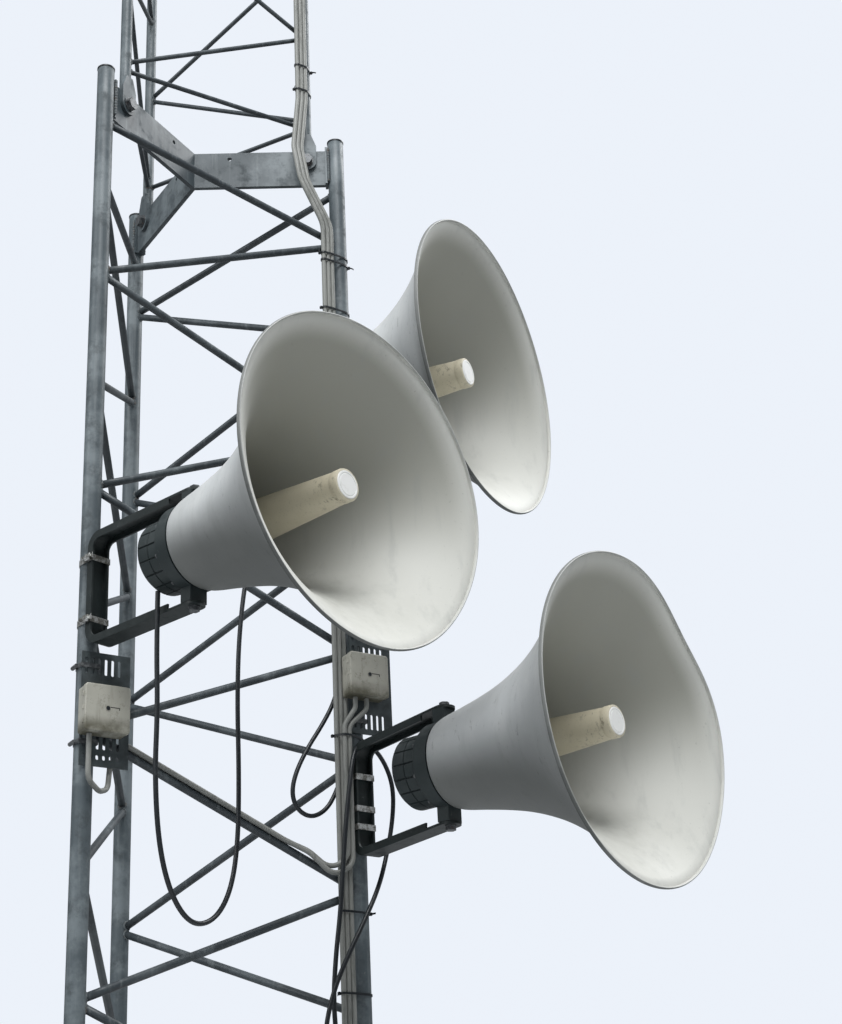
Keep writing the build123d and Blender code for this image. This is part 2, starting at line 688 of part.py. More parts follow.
# Routes of the free cords, chosen by hand.
DRIVER_CORD = (
    (375.0, -80.0, 3216.0), (353.0, -87.0, 3150.0), (312.0, -101.0, 3045.0), (275.0, -113.0, 2930.0),
    (257.0, -118.0, 2800.0), (252.0, -120.0, 2668.0), (255.0, -120.0, 2536.0), (252.0, -122.0, 2404.0),
    (232.0, -134.0, 2310.0), (190.0, -156.0, 2250.0), (130.0, -190.0, 2230.0), (78.0, -220.0, 2270.0),
    (47.0, -236.0, 2350.0), (36.0, -240.0, 2470.0), (39.0, -241.0, 2590.0), (35.0, -241.0, 2704.0),
    (36.0, -241.0, 2807.0),
)
LEG_CORD = (
    (549.5, 13.0, 2795.0), (536.0, 13.0, 2748.0), (506.0, 13.0, 2694.0), (470.0, 13.0, 2640.0),
    (443.0, 13.0, 2587.0), (434.0, 13.0, 2545.0), (446.0, 13.0, 2515.0), (474.0, 13.0, 2502.0),
    (505.0, 13.0, 2516.0), (529.0, 13.0, 2548.0), (547.0, 13.0, 2592.0),
)
YOKE_CORD = (
    (537.25, -26.5, 1820.0), (537.25, -26.5, 1872.0), (522.0, -33.0, 1940.0), (496.0, -42.0, 2030.0),
    (482.0, -45.0, 2130.0), (490.0, -45.0, 2225.0), (503.0, -45.0, 2310.0), (511.0, -46.0, 2400.0),
    (520.0, -47.0, 2490.0), (530.0, -47.0, 2560.0), (542.0, -42.0, 2618.0), (564.0, -30.0, 2652.0),
    (594.0, -25.0, 2652.0), (622.0, -27.0, 2622.0), (640.0, -30.0, 2570.0), (635.0, -30.0, 2500.0),
    (616.0, -31.0, 2425.0), (592.0, -40.0, 2365.0), (552.0, -55.0, 2300.0), (512.0, -62.0, 2235.0),
    (478.0, -61.0, 2168.0), (456.0, -60.0, 2095.0), (457.0, -57.0, 2020.0), (474.0, -49.0, 1955.0),
    (504.0, -36.0, 1912.0), (526.75, -26.5, 1872.0), (526.75, -26.5, 1820.0),
)


def free_cord(points):
    """A free cord whose arcs are as large as their runs allow."""
    corners = [Vector(*point) for point in points]
    bends = []
    for before, corner, after in zip(corners, corners[1:], corners[2:]):
        run_in, run_out = corner - before, after - corner
        half_turn = math.radians(run_in.get_angle(run_out)) / 2.0
        bends.append(0.45 * min(run_in.length, run_out.length) / math.tan(half_turn))
    solid = cable(points, CORD_R, bends)
    print("smallest bend radius", round(min(bends), 1))
    print("volume over section", round(solid.volume / (math.pi * CORD_R**2), 1))
    return solid


def main():
    os.makedirs("parts", exist_ok=True)
    lower = [FIRST_LEFT_NODE, FIRST_RIGHT_NODE]
    for k in range(LOWER_BAYS + 1):
        if k > 0:
            lower.append(LOWER_NODE_0 - k * BAY + BAY_OFFSET)
        lower.append(LOWER_NODE_0 - k * BAY)
    upper = []
    for k in range(UPPER_BAYS + 1):
        upper.append(UPPER_NODE_0 + k * BAY)
        if k < UPPER_BAYS:
            upper.append(UPPER_NODE_0 + k * BAY + BAY / 2.0)
    for name in LEGS:
        x, y = LEGS[name]
        save("lower_leg_" + name, [tube(x, y, FOOT_T, LEG_TOP, LEG_R, LEG_WALL)])
        save("upper_leg_" + name, [upper_leg_solid(name)])
    for face in FACES:
        a, b = FACES[face]
        save("lower_bracing_" + face, zigzag(LEGS[a], LEGS[b], lower, [BASE_RING_Z], BAR_R, LEG_R))
        ua, ub = upper_leg(a), upper_leg(b)
        rings = [UPPER_RING_Z, UPPER_TOP - 18.0]
        save("upper_bracing_" + face, zigzag(ua, ub, upper, rings, UPPER_BAR_R, UPPER_LEG_R))
    save("feet", feet())
    save("leg_caps", caps())
    save("section_joint_plate", joint_plate())
    save("section_joint_bolts", joint_bolts())

    all_bolts = []
    all_bands = []
    horns = (
        ("a", YOKE_A, AIM_A, CLAMPS_A),
        ("b", YOKE_B, AIM_B, CLAMPS_B),
        ("c", YOKE_C, AIM_C, CLAMPS_C),
    )
    for letter, mount, aim, heights in horns:
        place = yoke_place(mount)
        reach, saddle = mount[3], mount[4]
        save("yoke_" + letter, [yoke(place, reach, saddle)])
        all_bolts.extend(pivot_bolts(place, reach))
        all_bands.extend(band_clamps(place, heights, saddle))
        if saddle > 0.0:
            save("yoke_saddles", saddles(place, heights, saddle))
        horn = horn_place(mount, aim)
        save("bell_" + letter, [bell(horn)])
        save("horn_tube_" + letter, [horn_tube(horn)])
        save("neck_ring_" + letter, [neck_ring(horn)])
        save("driver_" + letter, [driver(horn)])
    save("pivot_bolts", all_bolts)
    save("band_clamps", all_bands)

    plates = (PLATE_LEFT, PLATE_RIGHT, PLATE_UPPER)
    save("slotted_plates", [slotted_plate(plate) for plate in plates])
    save("junction_boxes", [junction_box(plate) for plate in plates])
    save("junction_box_lids", [box_lid(plate) for plate in plates])
    straps = []
    for plate in plates:
        straps.extend(plate_straps(plate))
    save("plate_straps", straps)
    save("grey_cables_upper", upper_cables())
    save("grey_cables_chain", chain_cables() + [box_tail()])
    save("black_cables", black_cables())
    save("cable_ties", cable_ties())
    save("black_cord_driver", [free_cord(DRIVER_CORD)])
    save("black_cord_leg", [free_cord(LEG_CORD)])
    save("black_cord_yoke", [free_cord(YOKE_CORD)])


if __name__ == "__main__":
    main()
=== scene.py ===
import json
import math

import bpy
import numpy as np
from mathutils import Matrix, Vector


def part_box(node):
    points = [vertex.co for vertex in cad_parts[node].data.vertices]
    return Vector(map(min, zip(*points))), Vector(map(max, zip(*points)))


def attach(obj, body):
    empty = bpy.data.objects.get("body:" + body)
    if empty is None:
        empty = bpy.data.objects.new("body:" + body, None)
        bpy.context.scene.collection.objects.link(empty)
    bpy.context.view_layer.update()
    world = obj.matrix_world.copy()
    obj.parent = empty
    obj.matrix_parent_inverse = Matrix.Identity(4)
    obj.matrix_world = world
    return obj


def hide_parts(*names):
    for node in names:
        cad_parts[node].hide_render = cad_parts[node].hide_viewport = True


# The looks of a three-legged siren mast. Lengths are in metres and angles in degrees, in the
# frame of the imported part: X from the left leg to the right leg, Y towards the back leg, Z up.

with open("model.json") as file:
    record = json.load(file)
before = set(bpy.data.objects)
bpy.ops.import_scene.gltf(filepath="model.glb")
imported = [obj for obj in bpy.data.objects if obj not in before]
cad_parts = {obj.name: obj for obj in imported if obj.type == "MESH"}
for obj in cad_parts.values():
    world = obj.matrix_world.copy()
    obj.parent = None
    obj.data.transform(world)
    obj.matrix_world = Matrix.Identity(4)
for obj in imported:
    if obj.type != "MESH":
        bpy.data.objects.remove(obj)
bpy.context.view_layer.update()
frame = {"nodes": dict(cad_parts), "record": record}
record = frame["record"]

MM = 0.001
BODY = "mast"
UP = np.array((0.0, 0.0, 1.0))
FULL_TURN = 2.0 * math.pi

# Mast: radii of tubes and bars, and how far a bar's end is off its node and inside its leg.
LEG_R = 18.25 * MM
LEG_WALL = 3.0 * MM
UPPER_LEG_R = 12.5 * MM
BAR_R = 7.75 * MM
UPPER_BAR_R = 5.25 * MM
BAR_SPREAD = 1.3 * MM
BAR_BITE = 1.5 * MM
PLATE_ARM_HALF = 14.5 * MM
# Weld beads: their radii at the bars, the joint plate's arms and the feet, and how uneven.
BAR_WELD_R = 2.4 * MM
ARM_WELD_R = 3.0 * MM
FOOT_WELD_R = 2.8 * MM
WELD_UNEVEN = 0.3 * MM
# Size of the upper section's triangle as a share of the lower one's.
UPPER_RATIO = 0.795

# Mast: heights of the brace bars' nodes and level rings, counted in bays.
FOOT_T = 12.0 * MM
LEG_TOP = 4112.0 * MM
BAY = 490.0 * MM
BAY_OFFSET = 234.0 * MM
LOWER_NODE_0 = 3598.0 * MM
LOWER_BAYS = 7
FIRST_NODES = (3976.0 * MM, 3832.0 * MM)
BASE_RING_Z = 112.0 * MM
UPPER_RINGS = (4157.0 * MM, 6152.0 * MM)
UPPER_NODE_0 = 4177.0 * MM
UPPER_BAYS = 4

# Horns: X runs forward from the pivot's axis. FLARE gives distances back from the mouth, with
# the bell's radius at each.
MOUTH_X = 411.0 * MM
BELL_T = 3.0 * MM
RIM_R = 4.0 * MM
RIM_LIP = 1.8 * MM
RIM_WAVES = 5
RIM_WAVE_H = 0.8 * MM
NECK_X = 11.0 * MM
LIP_R = 62.0 * MM
FLARE = np.array((
    (0.0, 295.0), (18.0, 271.0), (38.0, 248.0), (62.0, 224.0), (90.0, 200.0), (120.0, 178.0),
    (155.0, 156.5), (195.0, 137.0), (240.0, 120.0), (290.0, 106.5), (340.0, 96.0), (385.0, 87.0),
    (395.0, 84.0), (400.0, 77.0),
)) * MM
BELL_STEPS = 160
TUBE_CAP_R = 29.5 * MM
TUBE_TIP_R = 28.5 * MM
TUBE_ROOT_R = 46.0 * MM
TUBE_X1 = 371.0 * MM
TUBE_CAP_L = 18.0 * MM
TUBE_STEPS = 96
# Where the tube's scuffs begin, and over what length they reach their full share.
SCUFF_X0 = 150.0 * MM
SCUFF_L = 200.0 * MM
RING_X0 = -14.0 * MM
DRIVER_X0 = -85.0 * MM
DRIVER_R = 70.0 * MM
FLANGE_R = 78.0 * MM
FLANGE_T = 8.0 * MM
FLANGE_BOLTS = 8
FLANGE_BOLT_RING_R = 73.5 * MM
# A hexagon head's radius and height, where its sides begin to narrow and how narrow its top is.
FLANGE_BOLT_HEAD = (4.2 * MM, 3.6 * MM, 0.75, 0.82)
SCREW_HEAD = (4.4 * MM, 4.2 * MM, 0.8, 0.84)
GROOVES = 16
# Where one groove and the rib beside it have their points, as shares of the pitch, and how deep.
GROOVE_SHARES = (0.0, 0.025, 0.045, 0.070, 0.30, 0.50, 0.70, 0.930, 0.955, 0.975)
GROOVE_DEPTHS = np.array((3.2, 3.0, 1.2, 0.0, 0.0, 0.0, 0.0, 0.0, 1.2, 3.0)) * MM

# The direction that each horn faces at rest, in plan.
AIMS = {"a": -71.7, "b": -59.4, "c": -69.7}

# Each bell's dents: the turn of its middle, its width and its depth, negative inwards.
DENTS = {
    "a": ((0.10, 0.7, -6.0 * MM), (2.2, 0.5, -4.0 * MM)),
    "b": ((1.2, 0.6, -5.0 * MM), (3.3, 0.8, -4.0 * MM)),
    "c": ((0.80, 0.36, -23.0 * MM), (0.25, 0.30, 3.0 * MM), (2.1, 0.6, -7.0 * MM), (5.2, 0.9, -6.0 * MM)),
}
DENT_START_X = 200.0 * MM

# Small fittings: length, width and height of each box, width and thickness of each strip, and
# the hinge lugs' places from the middle of their lid.
TIE_H = 4.0 * MM
TIE_HEAD = np.array((5.8, 4.6, 6.2)) * MM
TIE_TAIL = np.array((3.4, 1.0)) * MM
BAND_H = 12.0 * MM
SCREW_HOUSING = np.array((15.0, 6.6, 13.2)) * MM
SCREW_R = 3.7 * MM
BAND_TAIL = np.array((11.2, 0.9)) * MM
HINGE_LUG = np.array((9.0, 5.0, 2.2)) * MM
HINGE_AT = np.array((-44.6, 9.5, 0.0)) * MM
HINGE_RISES = np.array((-26.0, 0.0, 26.0)) * MM
LOCK_DOT_R = 4.0 * MM

CORD_R = 4.5 * MM
# Routes of the free cords, in millimetres.
DRIVER_CORD = (
    (375, -80, 3216), (353, -87, 3150), (312, -101, 3045), (275, -113, 2930), (257, -118, 2800),
    (252, -120, 2668), (255, -120, 2536), (252, -122, 2404), (232, -134, 2310), (190, -156, 2250),
    (130, -190, 2230), (78, -220, 2270), (47, -236, 2350), (36, -240, 2470), (39, -241, 2590),
    (35, -241, 2704), (36, -241, 2807),
)
LEG_CORD = (
    (549.5, 13, 2795), (536, 13, 2748), (506, 13, 2694), (470, 13, 2640), (443, 13, 2587),
    (434, 13, 2545), (446, 13, 2515), (474, 13, 2502), (505, 13, 2516), (529, 13, 2548),
    (547, 13, 2592),
)
YOKE_CORD = (
    (537.25, -26.5, 1820), (537.25, -26.5, 1872), (522, -33, 1940), (496, -42, 2030),
    (482, -45, 2130), (490, -45, 2225), (503, -45, 2310), (511, -46, 2400), (520, -47, 2490),
    (530, -47, 2560), (542, -42, 2618), (564, -30, 2652), (594, -25, 2652), (622, -27, 2622),
    (640, -30, 2570), (635, -30, 2500), (616, -31, 2425), (592, -40, 2365), (552, -55, 2300),
    (512, -62, 2235), (478, -61, 2168), (456, -60, 2095), (457, -57, 2020), (474, -49, 1955),
    (504, -36, 1912), (526.75, -26.5, 1872), (526.75, -26.5, 1820),
)

# The photograph's camera: where it stands, which way it looks and its focal length in pixels.
CAMERA_AT = (-1.159, -2.974, 1.600)
CAMERA_AZIMUTH = 32.79
CAMERA_PITCH = 24.41
CAMERA_ROLL = -2.89
FOCAL_PIXELS = 1784.3
IMAGE_WIDTH = 842
SENSOR_WIDTH = 36.0

# Each lamp's place, target, power and side, and its colour.
LAMPS = {
    "sky_front": ((-2.0, -4.5, 10.5), (0.3, 0.0, 3.0), 900.0, 4.5, (0.98, 0.99, 1.0)),
    "sky_left": ((-6.5, -0.5, 7.0), (0.3, 0.0, 3.2), 220.0, 4.0, (0.97, 0.99, 1.0)),
    "sky_right": ((6.5, 0.0, 9.5), (0.3, 0.0, 3.2), 460.0, 4.5, (0.98, 0.99, 1.0)),
}
FLOOR_HALF = 30.0


def mount_place(name):
    """Plan position of a leg, from the foot mount of that name."""
    for mount in record["mounts"]:
        if mount["name"] == "foot_" + name:
            return np.array(mount["pos_m"][:2])
    raise KeyError(name)


LEGS = {name: mount_place(name) for name in ("left", "right", "back")}
CENTRE = sum(LEGS.values()) / 3.0
FACES = {"front": ("left", "right"), "right": ("right", "back"), "left": ("back", "left")}
UPPER_LEGS = {name: CENTRE + (place - CENTRE) * UPPER_RATIO for name, place in LEGS.items()}
PIVOTS = {joint["child"][-1]: np.array(joint["pos_m"]) for joint in record["behaviour"]["joints"]}

# The middle of each junction box's lid, on its front face.
BOX_FRONT = 39.6 * MM
BOX_HALF = 45.0 * MM
BOXES = np.array((
    (22.0 * MM, -LEG_R - BOX_FRONT, 2643.0 * MM), (578.0 * MM, -LEG_R - BOX_FRONT, 2788.0 * MM),
    (UPPER_LEGS["right"][0] - 6.0 * MM, UPPER_LEGS["right"][1] - UPPER_LEG_R - BOX_FRONT, 5762.0 * MM),
))


# Meshes

def grid_faces(rows, columns, wrap_rows=False, wrap_columns=False):
    """Quads between neighbouring points of a grid, joined round where it wraps."""
    row = np.arange(rows if wrap_rows else rows - 1)
    column = np.arange(columns if wrap_columns else columns - 1)
    row, column = np.meshgrid(row, column, indexing="ij")
    beside = (column + 1) % columns
    below = (row + 1) % rows * columns
    row = row * columns
    return np.stack((row + column, row + beside, below + beside, below + column), axis=-1).reshape(-1, 4)


def joined(parts):
    """Several (points, faces) pairs as one, with the later faces counted on."""
    points = []
    faces = []
    start = 0
    for part_points, part_faces in parts:
        points.append(part_points)
        faces.extend((np.asarray(face) + start).tolist() for face in part_faces)
        start += len(part_points)
    return np.concatenate(points), faces


def added(name, data):
    """A new object of the scene that holds the data."""
    made = bpy.data.objects.new(name, data)
    bpy.context.scene.collection.objects.link(made)
    return made


def piece(name, shape, slot, stands_for=(), body=BODY, finish=None, marks=None, smooth=True, crease=None):
    """A finished mesh piece that rides on a body. shape is its points and faces, marks are named
    values, one for each point, and edges that turn by more degrees than crease are sharp."""
    points, faces = shape
    mesh = bpy.data.meshes.new(name)
    mesh.from_pydata(np.asarray(points).tolist(), [], [list(face) for face in faces])
    for mark, values in (marks or {}).items():
        layer = mesh.attributes.new(mark, "FLOAT", "POINT")
        layer.data.foreach_set("value", values.astype(np.float32))
    mesh.materials.append(finish or FINISHES[slot])
    mesh.update()
    if smooth:
        mesh.polygons.foreach_set("use_smooth", np.ones(len(mesh.polygons), dtype=bool))
    made = added(name, mesh)
    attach(made, body)
    if stands_for:
        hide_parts(*stands_for)
    if crease:
        bpy.context.view_layer.update()
        mesh.set_sharp_from_angle(angle=math.radians(crease))


def near(x, radius, *offsets):
    """Points of an outline, as millimetres along and out from one place on it."""
    return np.array(offsets) * MM + (x, radius)


def unit(vectors):
    """The same directions at length one, for one vector or one in each row."""
    return vectors / np.linalg.norm(vectors, axis=-1, keepdims=True)


def turns(count):
    """Even turns round a circle, the last one short of the first."""
    return np.linspace(0.0, FULL_TURN, count, endpoint=False)


def revolved(profile, steps, place, swell=None):
    """A profile of (x, radius) points carried round the X axis of a place: each point goes to
    (x, radius sin turn, radius cos turn). swell, where given, makes the radius a function of x,
    radius and turn."""
    x, angle = np.meshgrid(profile[:, 0], turns(steps), indexing="ij")
    radius = np.repeat(profile[:, 1:2], steps, axis=1)
    if swell is not None:
        radius = swell(x, radius, angle)
    points = np.stack((x, radius * np.sin(angle), radius * np.cos(angle)), axis=-1)
    return place(points.reshape(-1, 3)), grid_faces(len(profile), steps, wrap_columns=True)


def lathe(profile, steps, place, swell=None):
    """A closed profile carried round the X axis, so that the surface closes on itself."""
    points, _ = revolved(profile, steps, place, swell)
    return points, grid_faces(len(profile), steps, wrap_rows=True, wrap_columns=True)


def tube_along(route, radius, sides):
    """A ring of points carried along a route, square to it, with both ends left open. The
    radius may be one number or one for each point of the route."""
    ahead = unit(np.gradient(route, axis=0))
    # Any direction will do that no route of this object follows.
    steady = (0.31, 0.87, 0.38)
    across = unit(np.cross(ahead, steady))
    over = np.cross(ahead, across)
    turn = turns(sides)[:, None]
    radii = np.broadcast_to(radius, len(route))[:, None, None]
    ring = across[:, None, :] * np.cos(turn) + over[:, None, :] * np.sin(turn)
    points = route[:, None, :] + radii * ring
    return points.reshape(-1, 3), grid_faces(len(route), sides, wrap_columns=True)


def capped(points, faces, sides):
    """The same tube with a flat face over each end."""
    count = len(points)
    lids = [list(range(sides))[::-1], list(range(count - sides, count))]
    return points, [list(face) for face in faces] + lids


def rod(route, radius, sides):
    """A closed round bar along a route."""
    return capped(*tube_along(route, radius, sides), sides)


def pipe_post(place, radius, wall, z0, z1):
    """A standing pipe with its wall: a closed outline of its section, whose long sides are cut
    into short runs, carried round its axis."""
    lip = wall / 4.0
    corners = np.array((
        (z0, radius - wall), (z0, radius - lip), (z0 + lip, radius), (z1 - lip, radius), (z1, radius - lip),
        (z1, radius - wall),
    ))
    outline = []
    for start, end in zip(corners, np.roll(corners, -1, axis=0)):
        runs = 40 if abs(end[0] - start[0]) > radius else 1
        outline.append(start + (end - start) * np.linspace(0.0, 1.0, runs, endpoint=False)[:, None])

    def stand(points):
        return np.stack((points[:, 1] + place[0], points[:, 2] + place[1], points[:, 0]), axis=-1)

    return lathe(np.concatenate(outline), 64, stand)


def smooth_through(xs, ys, x):
    """A curve through the points: on each span a cubic whose slopes at the ends are the slopes
    of the line between the neighbours."""
    slopes = np.gradient(ys, xs)
    k = np.clip(np.searchsorted(xs, x, side="right") - 1, 0, len(xs) - 2)
    h = xs[k + 1] - xs[k]
    t = (x - xs[k]) / h
    return (
        (1 + 2 * t) * (1 - t) ** 2 * ys[k] + t * (1 - t) ** 2 * h * slopes[k]
        + t * t * (3 - 2 * t) * ys[k + 1] + t * t * (t - 1) * h * slopes[k + 1]
    )


def horn_place(letter):
    """A function that puts points of a horn's own frame, X forward, at its pivot and aim."""
    aim = math.radians(AIMS[letter])
    forward = np.array((math.cos(aim), math.sin(aim), 0.0))
    aside = np.array((-math.sin(aim), math.cos(aim), 0.0))

    def put(points):
        return PIVOTS[letter] + points @ np.stack((forward, aside, UP))

    return put


# Shader maths

class Signal:
    """A socket of a finish's shader that can stand in sums with numbers and other signals."""

    def __init__(self, finish, socket):
        self.finish = finish
        self.socket = socket

    def through(self, operation, *others):
        """The result of a math node whose first input is this signal."""
        values = dict(enumerate((self, *others)))
        return self.finish.node("ShaderNodeMath", {"operation": operation}, values)

    def __add__(self, other):
        return self.through("ADD", other)

    __radd__ = __add__

    def __mul__(self, other):
        return self.through("MULTIPLY", other)

    __rmul__ = __mul__

    def __sub__(self, other):
        return self.through("SUBTRACT", other)

    def __rsub__(self, other):
        return self.through("MULTIPLY", -1.0).through("ADD", other)


class Finish:
    """One material, whose shader is built by node() and by sums of signals."""

    def __init__(self, name, roughness=0.5, metallic=0.0, specular=0.5, colour=(0.5, 0.5, 0.5)):
        self.material = bpy.data.materials.new(name)
        self.material.use_nodes = True
        self.tree = self.material.node_tree
        self.shader = self.tree.nodes["Principled BSDF"]
        self.feed(self.shader, {"Roughness": roughness, "Metallic": metallic, "Base Color": colour,
                                "Specular IOR Level": specular})
        self.material.diffuse_color = (*colour, 1.0)

    def feed(self, made, values):
        """For each of a node's sockets that is named, links a signal or writes a plain value."""
        for key, value in values.items():
            socket = made.inputs[key]
            if isinstance(value, Signal):
                self.tree.links.new(value.socket, socket)
            elif isinstance(value, tuple) and len(value) == 3 and len(socket.default_value) == 4:
                socket.default_value = (*value, 1.0)
            else:
                socket.default_value = value

    def node(self, kind, settings=None, values=None, output=0):
        """Adds a node, with its settings and what goes into its sockets, and gives one output."""
        made = self.tree.nodes.new(kind)
        for key, setting in (settings or {}).items():
            setattr(made, key, setting)
        self.feed(made, values or {})
        return Signal(self, made.outputs[output])

    def place(self, stretch=(1.0, 1.0, 1.0)):
        """The piece's own coordinates, scaled along each axis."""
        own = self.node("ShaderNodeTexCoord", output="Object")
        return self.node("ShaderNodeMapping", {}, {"Vector": own, "Scale": stretch})

    def noise(self, scale, detail, rough, stretch=(1.0, 1.0, 1.0)):
        """Cloudy values round a half, of so many cells a metre."""
        values = {"Vector": self.place(stretch), "Scale": scale, "Detail": detail, "Roughness": rough}
        return self.node("ShaderNodeTexNoise", {}, values)

    def blots(self, scale, detail, rough, low, high, stretch=(1.0, 1.0, 1.0)):
        """Patches of such noise: 0 where it is below low, 1 above high."""
        return self.step(self.noise(scale, detail, rough, stretch), low, high)

    def specks(self, scale):
        """Distance to the nearest of scattered points."""
        return self.node("ShaderNodeTexVoronoi", {}, {"Vector": self.place(), "Scale": scale})

    def mark(self, name):
        """A value that the piece's points carry."""
        return self.node("ShaderNodeAttribute", {"attribute_name": name}, output="Fac")

    def step(self, signal, low, high):
        """0 below low, 1 above high, smooth between them."""
        settings = {"interpolation_type": "SMOOTHSTEP"}
        return self.node("ShaderNodeMapRange", settings, {"Value": signal, "From Min": low, "From Max": high})

    def mix(self, share, first, second):
        """The first colour turning to the second as the share goes from 0 to 1."""
        return self.node("ShaderNodeMix", {"data_type": "RGBA"}, {0: share, 6: first, 7: second}, output=2)

    def layers(self, colour, *coats):
        """A colour with others laid over it in turn, each by its share."""
        for share, other in coats:
            colour = self.mix(share, colour, other)
        return colour

    def axis(self, index):
        """One coordinate of the piece's own points."""
        own = self.node("ShaderNodeTexCoord", output="Object")
        return self.node("ShaderNodeSeparateXYZ", {}, {0: own}, output=index)

    def facing(self, index):
        """One component of the surface's direction."""
        turned = self.node("ShaderNodeNewGeometry", output="Normal")
        return self.node("ShaderNodeSeparateXYZ", {}, {0: turned}, output=index)

    def up(self, low, high):
        """0 where the surface's upward share is below low, 1 above high."""
        return self.step(self.facing(2), low, high)

    def down(self, low, high):
        """0 where the surface's downward share is below low, 1 above high."""
        return self.step(self.facing(2) * -1.0, low, high)

    def done(self, colour, roughness, height, strength, distance):
        """Feeds colour and roughness, raises the surface by a height, and gives the material."""
        values = {"Strength": strength, "Distance": distance, "Height": height}
        bump = self.node("ShaderNodeBump", {}, values)
        self.feed(self.shader, {"Base Color": colour, "Roughness": roughness, "Normal": bump})
        return self.material


def mast_paint(name="mast_paint", low=(0.070, 0.088, 0.098), high=(0.150, 0.176, 0.188)):
    """Weathered blue-grey paint: pale chalky patches and runs, dark grime, a little rust, and
    painted shade on the undersides."""
    f = Finish(name, roughness=0.55, specular=0.4, colour=low)
    patches = f.blots(7.0, 6.0, 0.66, 0.44, 0.62)
    runs = f.blots(70.0, 5.0, 0.65, 0.52, 0.70, (1.0, 1.0, 0.04))
    grime = f.blots(22.0, 7.0, 0.72, 0.50, 0.70)
    rust = f.blots(44.0, 8.0, 0.76, 0.67, 0.74)
    scratches = f.blots(190.0, 4.0, 0.7, 0.70, 0.74, (1.0, 1.0, 0.25))
    # Painted shade: surfaces that face down are darkened, standing in for the shade under the bars and legs.
    below = f.down(0.05, 0.95)
    colour = f.layers(
        f.mix(patches, low, high),
        (runs * 0.32, (0.215, 0.240, 0.248)),
        (grime * 0.60, (0.032, 0.040, 0.043)),
        # painted shade on the undersides
        (below * 0.70, (0.018, 0.023, 0.026)),
        (scratches * 0.45, (0.270, 0.285, 0.285)),
        (rust * 0.5, (0.118, 0.076, 0.046)),
    )
    return f.done(colour, 0.46 + 0.24 * grime, f.noise(420.0, 4.0, 0.6) * 0.4 + patches * 0.5, 0.22, 0.0006)


def weld_metal():
    """Painted weld beads: darker than the bars, with rust in their ripples."""
    f = Finish("weld_metal", roughness=0.6, specular=0.35, colour=(0.10, 0.12, 0.13))
    ripple = f.noise(420.0, 4.0, 0.6)
    rust = f.blots(90.0, 6.0, 0.7, 0.50, 0.66)
    colour = f.layers(
        f.mix(ripple, (0.060, 0.072, 0.078), (0.140, 0.160, 0.168)),
        (rust * 0.55, (0.130, 0.080, 0.048)),
    )
    return f.done(colour, 0.5 + 0.3 * ripple, ripple, 0.4, 0.0008)


def bell_paint():
    """Pale grey paint on spun aluminium. Outside: chalky patches and scuffs, painted shade on the
    undersides and in blotches behind the rim, and grime at the rim. Inside: warmer, with painted
    shade under the roof. Both sides have painted shade towards the neck."""
    f = Finish("bell_paint", roughness=0.50, specular=0.3, colour=(0.50, 0.51, 0.49))
    rim = f.mark("rim")
    inside = f.mark("inside")
    neck = f.mark("neck")
    clouds = f.noise(4.5, 5.0, 0.6)
    chalk = f.blots(17.0, 6.0, 0.68, 0.44, 0.68)
    streaks = f.blots(30.0, 6.0, 0.66, 0.50, 0.72, (1.0, 1.0, 0.12))
    chips = f.blots(130.0, 5.0, 0.7, 0.64, 0.68) * f.step(rim, 0.72, 1.0) * (1.0 - inside * 0.8)
    scuffs = f.blots(70.0, 8.0, 0.80, 0.58, 0.68, (1.0, 1.0, 0.35)) * (1.0 - inside)
    pits = f.blots(200.0, 2.0, 0.5, 0.800, 0.815)
    # Painted shade: the outside is darkened where it faces down.
    shade = f.down(-0.25, 0.62) * (1.0 - inside)
    dirt = f.up(0.30, 0.95) * inside * f.blots(26.0, 6.0, 0.7, 0.38, 0.66)
    # Painted shade under the inside's roof, where it faces down.
    roof = f.down(-0.30, 0.55) * inside * (1.0 - f.step(rim, 0.93, 1.0))
    edge = f.step(rim, 0.985, 0.997) * (1.0 - f.step(inside, 0.35, 0.55))
    # Painted shade in blotches on the outside's undersides just behind the rim.
    corner = f.blots(9.0, 6.0, 0.7, 0.44, 0.54) * f.step(rim, 0.90, 0.99) * shade
    colour = f.layers(
        f.mix(clouds, (0.480, 0.498, 0.500), (0.600, 0.615, 0.612)),
        (inside * 0.8, (0.585, 0.582, 0.530)),
        # painted shade deep in the throat, inside
        (neck * inside * 0.6, (0.225, 0.220, 0.165)),
        # painted shade under the roof
        (roof * 0.58, (0.168, 0.165, 0.120)),
        (chalk * (1.0 - inside) * 0.35, (0.640, 0.650, 0.640)),
        (streaks * 0.26, (0.330, 0.340, 0.325)),
        (dirt * 0.22, (0.300, 0.295, 0.250)),
        # painted shade on the outside's undersides
        (shade * 0.86, (0.056, 0.060, 0.054)),
        # painted shade towards the neck, on both sides
        (neck * 0.30, (0.200, 0.205, 0.198)),
        (scuffs * 0.42, (0.110, 0.115, 0.110)),
        # painted shade behind the rim
        (corner * 0.85, (0.030, 0.034, 0.028)),
        (edge * 0.75, (0.085, 0.090, 0.086)),
        (chips * 0.9, (0.035, 0.037, 0.034)),
        (pits * 0.4, (0.120, 0.120, 0.108)),
    )
    height = f.noise(900.0, 2.0, 0.5) * 0.25 + f.noise(14.0, 3.0, 0.5) * 0.8 - chips * 0.5
    return f.done(colour, 0.46 + 0.12 * clouds + 0.18 * scuffs, height, 0.18, 0.0009)


